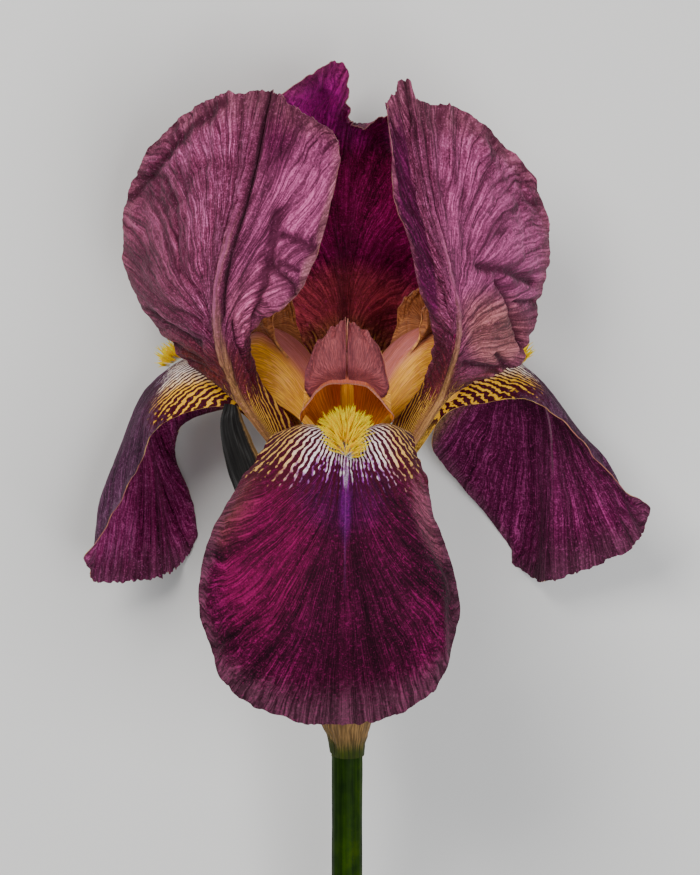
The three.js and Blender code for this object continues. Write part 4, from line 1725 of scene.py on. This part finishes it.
@dataclass
class Studio:
    """The pale table, the soft lights and the camera over the flower's front."""

    table: Finish
    key: float = 7.0  # W
    fill: float = 7.5  # W
    sky: float = 0.36
    aim: float = 0.04  # m over the table, where the lights look
    width: float = 4.0  # m, the table's
    sensor: float = 36  # mm, the camera's

    def build(self) -> None:
        """Builds the table, the lights and the camera."""
        bpy.ops.object.select_all(action="DESELECT")
        bpy.ops.mesh.primitive_plane_add(size=self.width, location=(0, 0, 0))
        floor = named(bpy.context.object, "table")
        floor.data.materials.append(self.table.material())
        self._light("key", (-0.34, 0.46, 0.82), 0.4, self.key, (1, 0.985, 0.96))
        self._light("fill", (0.34, -0.12, 0.98), 0.6, self.fill, (0.97, 0.98, 1))
        world = bpy.data.worlds.new("sky")
        bpy.context.scene.world = world
        world.use_nodes = True
        back = world.node_tree.nodes["Background"]
        back.inputs["Color"].default_value = (0.95, 0.97, 1, 1)
        back.inputs["Strength"].default_value = self.sky
        self._camera()

    def _light(self, name: str, at: tuple[float, float, float], size: float, power: float,
               colour: Colour) -> None:
        """A square soft light that looks at the middle of the flower.

        Args:
            name: its name.
            at: where it hangs, in m.
            size: its side in m.
            power: its power in W.
            colour: its colour.
        """
        bpy.ops.object.light_add(type="AREA", location=at)
        lamp = bpy.context.object
        lamp.name = name
        lamp.data.size = size
        lamp.data.energy = power
        lamp.data.color = colour
        x, y, z = at[0], at[1], at[2] - self.aim
        lamp.rotation_euler = (math.atan2(math.hypot(x, y), z), 0, math.atan2(x, -y))

    def _camera(self) -> None:
        """The camera that sees the flower as the drawing does."""
        bpy.ops.object.camera_add(location=laid(DRAWING.eye_point()), rotation=(-LIE, 0, 0))
        camera = bpy.context.object
        camera.name = "front_camera"
        camera.data.sensor_width = self.sensor
        camera.data.lens = DRAWING.lens(self.sensor)
        camera.data.clip_start = 0.05
        bpy.context.scene.camera = camera


# ---------------------------------------------------------------- the flower

FRONT_SQUARE = 11.0    # how square the front fall's far corners are
SIDE_SQUARE = 50.0     # and those of the side falls, which end in points

# Rows of guide points from the claw to the free margin. Across a row they go round the flower the same
# way as the azimuth, which is 0 for the front fall and grows towards the viewer's right.
FALL_GUIDES: dict[str, Guide] = {
    "fall_front": [
        [[316, 472, 12], [328, 474, 15], [346, 474, 16], [364, 474, 15], [378, 472, 12]],
        [[284, 434, 24], [314, 431, 28], [346, 440, 30], [377, 431, 28], [404, 434, 24]],
        [[267, 441, 35], [302, 429, 40], [346, 437, 42.5], [389, 428, 40], [415, 439, 35]],
        [[250, 466, 40], [290, 466, 47], [346, 474, 50], [396, 466, 47], [420, 464, 40]],
        [[225, 512, 43], [264, 536, 50.5], [345, 552, 53.5], [413, 534, 50.5], [432, 515, 43]],
        [[204, 558, 45], [239, 618, 50], [345, 640, 52], [437, 608, 50], [453, 563, 44]],
        [[194, 612, 44], [233, 693, 45], [345, 729, 43], [431, 690, 45], [468, 612, 43]]],
    "fall_left": [
        [[306, 434, -12], [298, 419, -9], [289, 411, -5], [281, 428, -1.5], [273, 450, 0.5]],
        [[258, 408, -18], [252, 392, -14], [246, 381, -8], [242, 396, -3], [238, 411, -1.5]],
        [[212, 412, -25], [206, 385, -21], [198, 358, -13], [196, 385, -6], [198, 409, -3.5]],
        [[178, 430, -33], [168, 393, -29], [163, 373, -20], [155, 402, -9], [161, 428, -5]],
        [[176, 458, -38], [155, 430, -35], [139, 408, -27], [127, 440, -13], [139, 474, -6]],
        [[191, 500, -41], [168, 492, -39], [148, 472, -31], [101, 500, -16], [110, 518, -7]],
        [[197, 538, -41], [183, 565, -38], [150, 581, -31], [99, 583, -19], [80, 556, -11]]],
    "fall_right": [
        [[419, 450, 0.5], [411, 428, -1.5], [404, 411, -5], [396, 419, -9], [388, 434, -12]],
        [[447, 413, -1], [447, 398, -3], [449, 383, -8], [442, 394, -14], [434, 414, -18]],
        [[482, 403, -4], [492, 380, -7], [497, 356, -13], [468, 395, -22], [432, 446, -27]],
        [[525, 400, -6], [538, 384, -10], [526, 375, -17], [490, 430, -27], [447, 471, -33]],
        [[570, 433, -7], [584, 433, -12], [549, 414, -22], [515, 472, -32], [478, 505, -38]],
        [[612, 477, -9], [613, 470, -14], [556, 482, -27], [532, 520, -36], [511, 542, -42]],
        [[653, 505, -13], [631, 550, -20], [558, 581, -30], [532, 580, -36], [517, 565, -41.6]]],
}
STANDARD_GUIDES: dict[str, Guide] = {
    "standard_left": [
        [[296, 466, 3], [300, 474, 6], [306, 482, 9], [313, 478, 10], [318, 470, 9]],
        [[252, 412, 6], [253, 420, 11], [262, 431, 15], [278, 433, 16], [294, 425, 13]],
        [[205, 376, 4], [222, 385, 14], [237, 392, 20], [250, 388, 21], [258, 374, 15]],
        [[163, 336, -4], [188, 340, 15], [219, 335, 25], [240, 334, 25], [256, 330, 19]],
        [[126, 272, -10], [165, 285, 15], [220, 272, 28], [262, 275, 26], [303, 285, 31]],
        [[126, 199, -8], [179, 189, 16], [243, 190, 29], [288, 190, 27], [338, 168, 34]],
        [[146, 148, 1], [198, 104, 14], [262, 86, 26], [291, 101, 27], [332, 130, 34]]],
    "standard_right": [
        [[376, 470, 9], [382, 478, 10], [389, 480, 9], [395, 474, 6], [399, 466, 3]],
        [[398, 418, 11], [406, 428, 15], [420, 432, 15], [432, 420, 11], [436, 408, 6]],
        [[424, 380, 13], [434, 388, 20], [444, 388, 20], [456, 384, 14], [470, 386, 4]],
        [[430, 335, 16], [450, 336, 24], [459, 333, 25], [486, 345, 15], [522, 360, -4]],
        [[416, 268, 26], [436, 282, 26], [450, 272, 28], [502, 290, 15], [542, 300, -10]],
        [[393, 196, 29], [412, 198, 25], [432, 200, 29], [496, 204, 16], [553, 243, -8]],
        [[388, 110, 27], [394, 92, 25], [412, 78, 26], [481, 118, 15], [535, 178, 0]]],
    "standard_back": [
        [[358, 462, -9], [354, 464, -10], [347, 466, -10], [340, 464, -10], [336, 462, -9]],
        [[376, 405, -17.5], [362, 410, -19.5], [346, 412, -20], [330, 410, -19.5], [316, 405, -17.5]],
        [[430, 350, -16], [386, 342, -25], [345, 338, -28.5], [304, 342, -25], [260, 350, -16]],
        [[466, 268, -7], [402, 260, -27], [344, 254, -35], [286, 260, -27], [222, 270, -7]],
        [[468, 190, -3], [404, 182, -27], [343, 176, -36], [282, 182, -27], [216, 190, -3]],
        [[440, 152, -1], [396, 140, -19], [348, 124, -28], [306, 120, -19], [252, 146, -3]],
        [[412, 140, 2], [391, 123, -8], [359, 117, -14], [341, 62, -10], [274, 92, 2]]],
}
BRACT_LEFT_GUIDE: Guide = [
    [[338, 690, -15], [322, 690, -12], [313, 690, -6], [325, 690, -1.0], [344, 690, 0.5]],
    [[322, 628, -13], [300, 630, -10], [290, 632, -4], [304, 632, 3], [327, 632, 5]],
    [[298, 560, -9], [276, 560, -7], [264, 562, -1], [278, 560, 4], [304, 556, 6]],
    [[266, 484, -5], [248, 488, -4], [236, 492, 0], [249, 486, 3.5], [270, 478, 4]],
    [[244, 430, 0.6], [233, 430, 1], [221, 432, 2.2], [231, 430, 3.6], [247, 428, 4]],
    [[238, 407, 2.2], [232, 405, 2.4], [226, 404, 2.8], [231, 404, 3.4], [238, 406, 3.8]]]


class Iris:
    """The whole flower on its stem."""

    def __init__(self) -> None:
        """Mixes the finishes that pieces share."""
        self.fall_rim = FleshFinish("fall_rim", (0.85, 0.48, 0.12), (0.85, 0.48, 0.12), (0.35, 0.10, 0.05),
                                    tip=(0.30, 0.12, 0.13), tip_range=(0.5, 0.78))
        self.standard_rim = FleshFinish("standard_rim", (0.32, 0.16, 0.06), (0.32, 0.16, 0.06),
                                        (0.15, 0.04, 0.03), tip=(0.3, 0.12, 0.15), tip_range=(0.35, 0.5))
        self.crest_rim = FleshFinish("style_rim", (0.70, 0.30, 0.08), (0.70, 0.30, 0.08), (0.25, 0.08, 0.06),
                                     tip=(0.45, 0.17, 0.13), tip_range=(0.5, 0.9))
        self.paper = PaperFinish("bract_paper")

    def falls(self) -> list[Fall]:
        """Builds the three falls.

        Returns:
            The falls: front, left and right.
        """
        front = PetalFinish(
            "fall_front_velvet", deep=(0.007, 0.0001, 0.003), body=(0.060, 0.0004, 0.021),
            light=(0.27, 0.004, 0.105), margin=(0.17, 0.055, 0.095), nerve_dark=0.7, claw=(0.6, 0.36, 0.05),
            claw_end=(0.12, 0.25), midrib=(0.30, 0.06, 0.30), midrib_width=0.008, midrib_share=0.45,
            midrib_range=(0.5, 0.80), rim=(0.84, 0.98), vein_dark=0.4, stray=0.05,
            stripes=Stripes(violet=(0.48, 0.02, 0.62), violet_share=0.95, fade=(0.53, 0.65), dip=0.03,
                            width=0.42, net=3.5, count=90, yellow=(0.25, 0.6)),
            washes=(Wash((0.24, 0.055, 0.06), (-1.0, 0.68), (0.4, 0.15)),
                    Wash((0.46, 0.11, 0.19), (0.95, 0.69), (0.45, 0.16)),
                    Wash((0.24, 0.0008, 0.07), (-0.5, 0.72), (0.42, 0.2), 0.6),
                    Wash((0.12, 0.001, 0.08), (0.0, 0.60), (0.5, 0.10), 0.8),
                    Wash((0.20, 0.0005, 0.24), (0.0, 0.59), (0.07, 0.13), 0.7),
                    Wash((0.9, 0.8, 1.0), (0.0, 0.565), (0.03, 0.05), 1.0),
                    Wash((0.036, 0.0005, 0.013), (0.05, 0.84), (0.35, 0.2), 0.6)))
        # the side falls' greyish margin is partly their own colour and partly painted sheen along the edge
        side = PetalFinish(
            "fall_side_velvet", deep=(0.012, 0.001, 0.008), body=(0.075, 0.013, 0.052),
            light=(0.22, 0.08, 0.17), margin=(0.12, 0.06, 0.10), claw=(0.6, 0.36, 0.05),
            claw_end=(0.12, 0.25), midrib=(0.30, 0.10, 0.3), midrib_range=(0.5, 0.8),
            stripes=Stripes(middle=(0.95, 0.84, 0.80), side=(1.0, 0.52, 0.02), yellow=(0.2, 0.55),
                            fade=(0.52, 0.64), count=110, net=4.0, width=0.53, violet=(0.10, 0.02, 0.22),
                            violet_share=0.8))
        under = PetalFinish(
            "fall_under", deep=(0.018, 0.0003, 0.008), body=(0.115, 0.004, 0.052), light=(0.40, 0.05, 0.22),
            margin=(0.16, 0.05, 0.09), claw=(0.35, 0.27, 0.05), claw_end=(0.2, 0.5),
            midrib=(0.60, 0.30, 0.42), midrib_width=0.014, midrib_share=0.8, midrib_range=(0.4, 0.86))
        # painted light: a brighter copy of the underside finish, for the left fall's underside, which lies in
        # shade
        under_painted_light = replace(under, name="fall_left_under_painted_light", body=(0.34, 0.014, 0.15),
                             light=(0.82, 0.14, 0.48))
        built = []
        for seed, (name, azimuth, wave, face) in enumerate((
                ("fall_front", 0, Wave(9, 1.1, 0.4, 0.35), front),
                ("fall_left", -120, Wave(8, 1.0, 1.1, 0.35), side),
                ("fall_right", 120, Wave(8, 1.0, 2.3, 0.35), side)), 11):
            below = under_painted_light if name == "fall_left" else under
            fall = Fall(name, azimuth, FALL_GUIDES[name], wave, seed, (below, face, self.fall_rim),
                        square=SIDE_SQUARE if azimuth else FRONT_SQUARE)
            fall.build()
            built.append(fall)
        return built

    def standards(self) -> None:
        """Builds the three standards."""
        foot = Stripes(middle=(0.46, 0.20, 0.07), side=(0.66, 0.36, 0.05), dark=(0.06, 0.004, 0.008),
                       count=110, fade=(0.38, 0.47), yellow=(0.1, 0.4), root=0.05, curl=0.9)
        base = dict(deep=(0.04, 0.002, 0.014), body=(0.23, 0.037, 0.102), light=(0.66, 0.16, 0.38), glint=0.2,
                    margin=(0.38, 0.11, 0.17), claw=(0.50, 0.25, 0.085), claw_end=(0.16, 0.3), curl=0.32,
                    midrib=(0.50, 0.22, 0.20), midrib_width=0.027, midrib_share=0.9,
                    midrib_range=(0.05, 0.84), nerves=26.0, nerve_dark=0.75, stripes=foot, ribs=270,
                    streaks=0.14, stray=0.035, painted_relief=0.75, depth=0.45)
        low = Wash((0.20, 0.030, 0.022), (0.0, 0.44), (1.4, 0.14), 0.9)
        left = PetalFinish("standard_left_outer", **base, washes=(
            low, Wash((0.12, 0.01, 0.025), (0.85, 0.48), (0.6, 0.16), 0.9),
            Wash((0.27, 0.026, 0.012), (-0.9, 0.48), (0.9, 0.13), 0.95),
            Wash((0.95, 0.26, 0.38), (0.55, 0.66), (0.45, 0.12), 0.8),
            Wash((0.95, 0.60, 0.38), (1.0, 0.75), (0.1, 0.12), 0.95),
            Wash((0.75, 0.15, 0.40), (0.6, 0.78), (0.65, 0.28), 0.75),
            Wash((0.30, 0.06, 0.12), (-0.75, 0.72), (0.6, 0.2), 0.5),
            # painted shade: the dark purple at the top, right of the crease, where the blade turns away from
            # the light
            Wash((0.16, 0.004, 0.07), (0.33, 1.03), (0.40, 0.17), 0.9, 0.7)))
        right = PetalFinish("standard_right_outer", **base, washes=(
            low, Wash((0.13, 0.012, 0.028), (-0.85, 0.47), (0.5, 0.14), 0.9),
            Wash((0.19, 0.028, 0.018), (0.9, 0.46), (0.9, 0.11), 0.9),
            Wash((0.75, 0.15, 0.40), (0.45, 0.7), (0.7, 0.3), 0.75),
            Wash((0.62, 0.22, 0.17), (0.55, 0.61), (0.55, 0.12), 0.75),
            # painted shade: the dark purple strip down the inner half, which turns away from the light
            Wash((0.17, 0.008, 0.09), (-1.0, 0.89), (0.66, 0.30), 0.95, 0.2)))
        back = PetalFinish("standard_back_outer", **base, washes=(low,))
        # painted light: this finish's body and its two lower washes are brightened against the shade that the
        # other standards cast on the back standard
        inner = PetalFinish(  # seen on the back standard, through the gap between the other two
            "standard_inner_painted_light", deep=(0.03, 0.0003, 0.009), body=(0.24, 0.0015, 0.072),
            light=(0.56, 0.012, 0.23), margin=(0.40, 0.06, 0.16), nerves=20.0, nerve_dark=0.5,
            claw=(0.45, 0.2, 0.03), claw_end=(0.2, 0.3), curl=0.45, stripes=foot,
            midrib=(0.01, 0.0002, 0.002), midrib_width=0.022, midrib_range=(0.3, 0.92), washes=(
                Wash((0.78, 0.012, 0.50), (0.2, 0.98), (1.2, 0.24), 0.85),
                Wash((0.85, 0.11, 0.14), (0.0, 0.47), (1.2, 0.1), 0.85),
                Wash((0.55, 0.24, 0.05), (0.0, 0.38), (1.1, 0.1), 0.85)))
        plans = (
            ("standard_left", -60, Wave(7, 1.0, 0.6, 0.55), left, (
                Fold(((0.05, 1.02), (0.07, 0.93), (0.06, 0.86), (0.08, 0.74), (0.1, 0.62)), 0.05, 1.7),
                Fold(((-0.03, 1.02), (-0.02, 0.9), (0.0, 0.78)), 0.05, -1.0),
                Fold(((0.44, 0.82), (0.50, 0.74), (0.57, 0.67), (0.83, 0.59)), 0.06, 2.2),
                Fold(((0.52, 0.735), (0.74, 0.716), (0.97, 0.685)), 0.038, 1.9),
                Fold(((0.60, 0.742), (0.88, 0.733)), 0.025, 0.9),
                Fold(((0.53, 0.786), (0.92, 0.762)), 0.035, 1.5),
                Fold(((0.62, 0.67), (0.95, 0.66)), 0.06, -1.6), Fold(((0.5, 0.72), (0.9, 0.74)), 0.06, -1.3),
                Fold(((0.3, 0.60), (0.52, 0.52), (0.7, 0.44)), 0.05, 1.6),
                Fold(((-0.5, 0.50), (-0.97, 0.55)), 0.06, 1.8),
                Fold(((-0.45, 0.46), (-0.95, 0.49)), 0.055, 1.6),
                Fold(((-0.35, 0.56), (-0.9, 0.63)), 0.07, 1.2),
                Fold(((-0.3, 0.60), (-0.9, 0.69)), 0.07, -0.9),
                Fold(((-0.3, 0.985), (-0.75, 0.93), (-0.98, 0.86)), 0.06, 0.6)), ()),
            ("standard_right", 60, Wave(7, 0.9, 2.0, 0.55), right, (
                Fold(((-0.1, 1.02), (-0.32, 0.86), (-0.36, 0.72), (-0.44, 0.66)), 0.05, 2.0),
                Fold(((-0.22, 0.86), (-0.26, 0.72)), 0.06, -0.9),
                Fold(((0.34, 0.75), (0.58, 0.755), (0.86, 0.748)), 0.05, 1.7),
                Fold(((0.50, 0.73), (0.62, 0.70), (0.76, 0.658), (0.96, 0.60)), 0.045, 2.3),
                Fold(((0.72, 0.70), (0.97, 0.71)), 0.03, 1.2),
                Fold(((0.60, 0.735), (0.9, 0.728)), 0.04, -0.7),
                Fold(((0.45, 0.62), (0.62, 0.64)), 0.07, -1.2), Fold(((0.7, 0.56), (0.98, 0.53)), 0.05, 1.3),
                Fold(((0.35, 0.50), (0.85, 0.52)), 0.06, 1.1)),
             ((0.0, 0.4, 0.02),)),
            ("standard_back", 180, Wave(7, 0.9, 0, 0.55), back, (), ()))
        for seed, (name, azimuth, wave, outer, folds, notches) in enumerate(plans, 31):
            Standard(name, azimuth, STANDARD_GUIDES[name], wave, seed, (outer, inner, self.standard_rim),
                     folds, notches).build()

    def heart(self, falls: Sequence[Fall]) -> None:
        """Builds the style arms, stamens and beards.

        Args:
            falls: the falls that the beards stand on.
        """
        upper = FleshFinish("style_upper", (0.58, 0.18, 0.18), (1.0, 0.50, 0.03), (0.42, 0.10, 0.02),
                            tip=(0.3, 0.06, 0.05), tip_range=(0.9, 1.0), band=(0.3, 0.6), count=40,
                            depth=0.16)
        under = FleshFinish("style_under", (1.0, 0.19, 0.001), (1.0, 0.33, 0.01), (0.45, 0.07, 0.001),
                            tip=(0.75, 0.24, 0.02), tip_range=(0.9, 1.0))
        # painted shade: the crest's side colour, darker towards both edges of each lobe, paints the shade in
        # the cleft between the lobes and along their rims
        front = FleshFinish("crest_front", (0.26, 0.056, 0.062), (0.15, 0.026, 0.034), (0.045, 0.004, 0.012),
                            band=(0.5, 1.05), count=24, fanned=True, cup=(0.95, 0.44, 0.04), depth=0.26)
        back = FleshFinish("crest_back", (0.42, 0.15, 0.05), (0.42, 0.15, 0.045), (0.09, 0.012, 0.01),
                           count=22, fanned=True, depth=0.2)
        anther = FleshFinish("anther", (0.90, 0.36, 0.01), (0.90, 0.36, 0.01), (0.4, 0.12, 0.004))
        hair = HairFinish()
        for i, (place, azimuth) in enumerate((("front", 0.0), ("left", -120.0), ("right", 120.0))):
            arm = StyleArm(place, azimuth, 51 + i, upper, under, self.crest_rim, front, back)
            if azimuth:
                arm.crest = (((5.6, 15.6, 41.0), (4.4, 20.0, 43.6), (0.15, 27.0, 40.4)),
                             ((4.8, 16.0, 45.4), (3.6, 20.6, 47.4), (0.12, 25.6, 46.0)),
                             ((4.0, 17.6, 49.0), (2.4, 21.6, 51.6), (0.15, 23.8, 51.0)))
                arm.seat = ((0.42, 0.6), (0.28, 0.8), (0.04, 0.975))
                arm.crest_front = back
            arm.build()
            Stamen(place, azimuth, anther).build()
            Beard(place, falls[i], hair, 61 + i).build()

    def foot(self) -> None:
        """Builds the ovary and tube, the stem and the bracts."""
        OvaryTube(GreenFinish("ovary_green", (0.05, 0.08, 0.01), (0.14, 0.2, 0.03), (0.2, 0.25, 0.1))).build()
        Stem(GreenFinish("stem_green"), CutFinish()).build()
        wrap = Bract.wrap
        Bract("bract_left", np.concatenate([
            [wrap(-200, -50, 3.6, -52.8), wrap(-198, -50, (4.0, 4.1, 4.4, 4.3, 3.9), -49.2),
             wrap(-198, -46, (5.2, 5.8, 6.5, 6.0, 5.0), -45)],
            DRAWING.points(BRACT_LEFT_GUIDE)]), 91, self.paper).build()
        Bract("bract_right", np.array([
            wrap(-72, 168, 3.72, -53.4), wrap(-70, 166, 4.1, -49.6), wrap(-66, 158, 5.5, -45),
            wrap(-44, 146, 6.8, -39), wrap(-10, 126, 7.4, -29), wrap(16, 102, 7.4, -17),
            wrap(46, 74, 7.6, -10)]), 92, self.paper).build()


def main() -> None:
    """Builds the studio and the flower."""
    logging.basicConfig(level=logging.INFO, format="%(name)s: %(message)s")
    Studio(TableFinish()).build()
    iris = Iris()
    falls = iris.falls()
    iris.standards()
    iris.heart(falls)
    iris.foot()


if __name__ == "__main__":
    main()
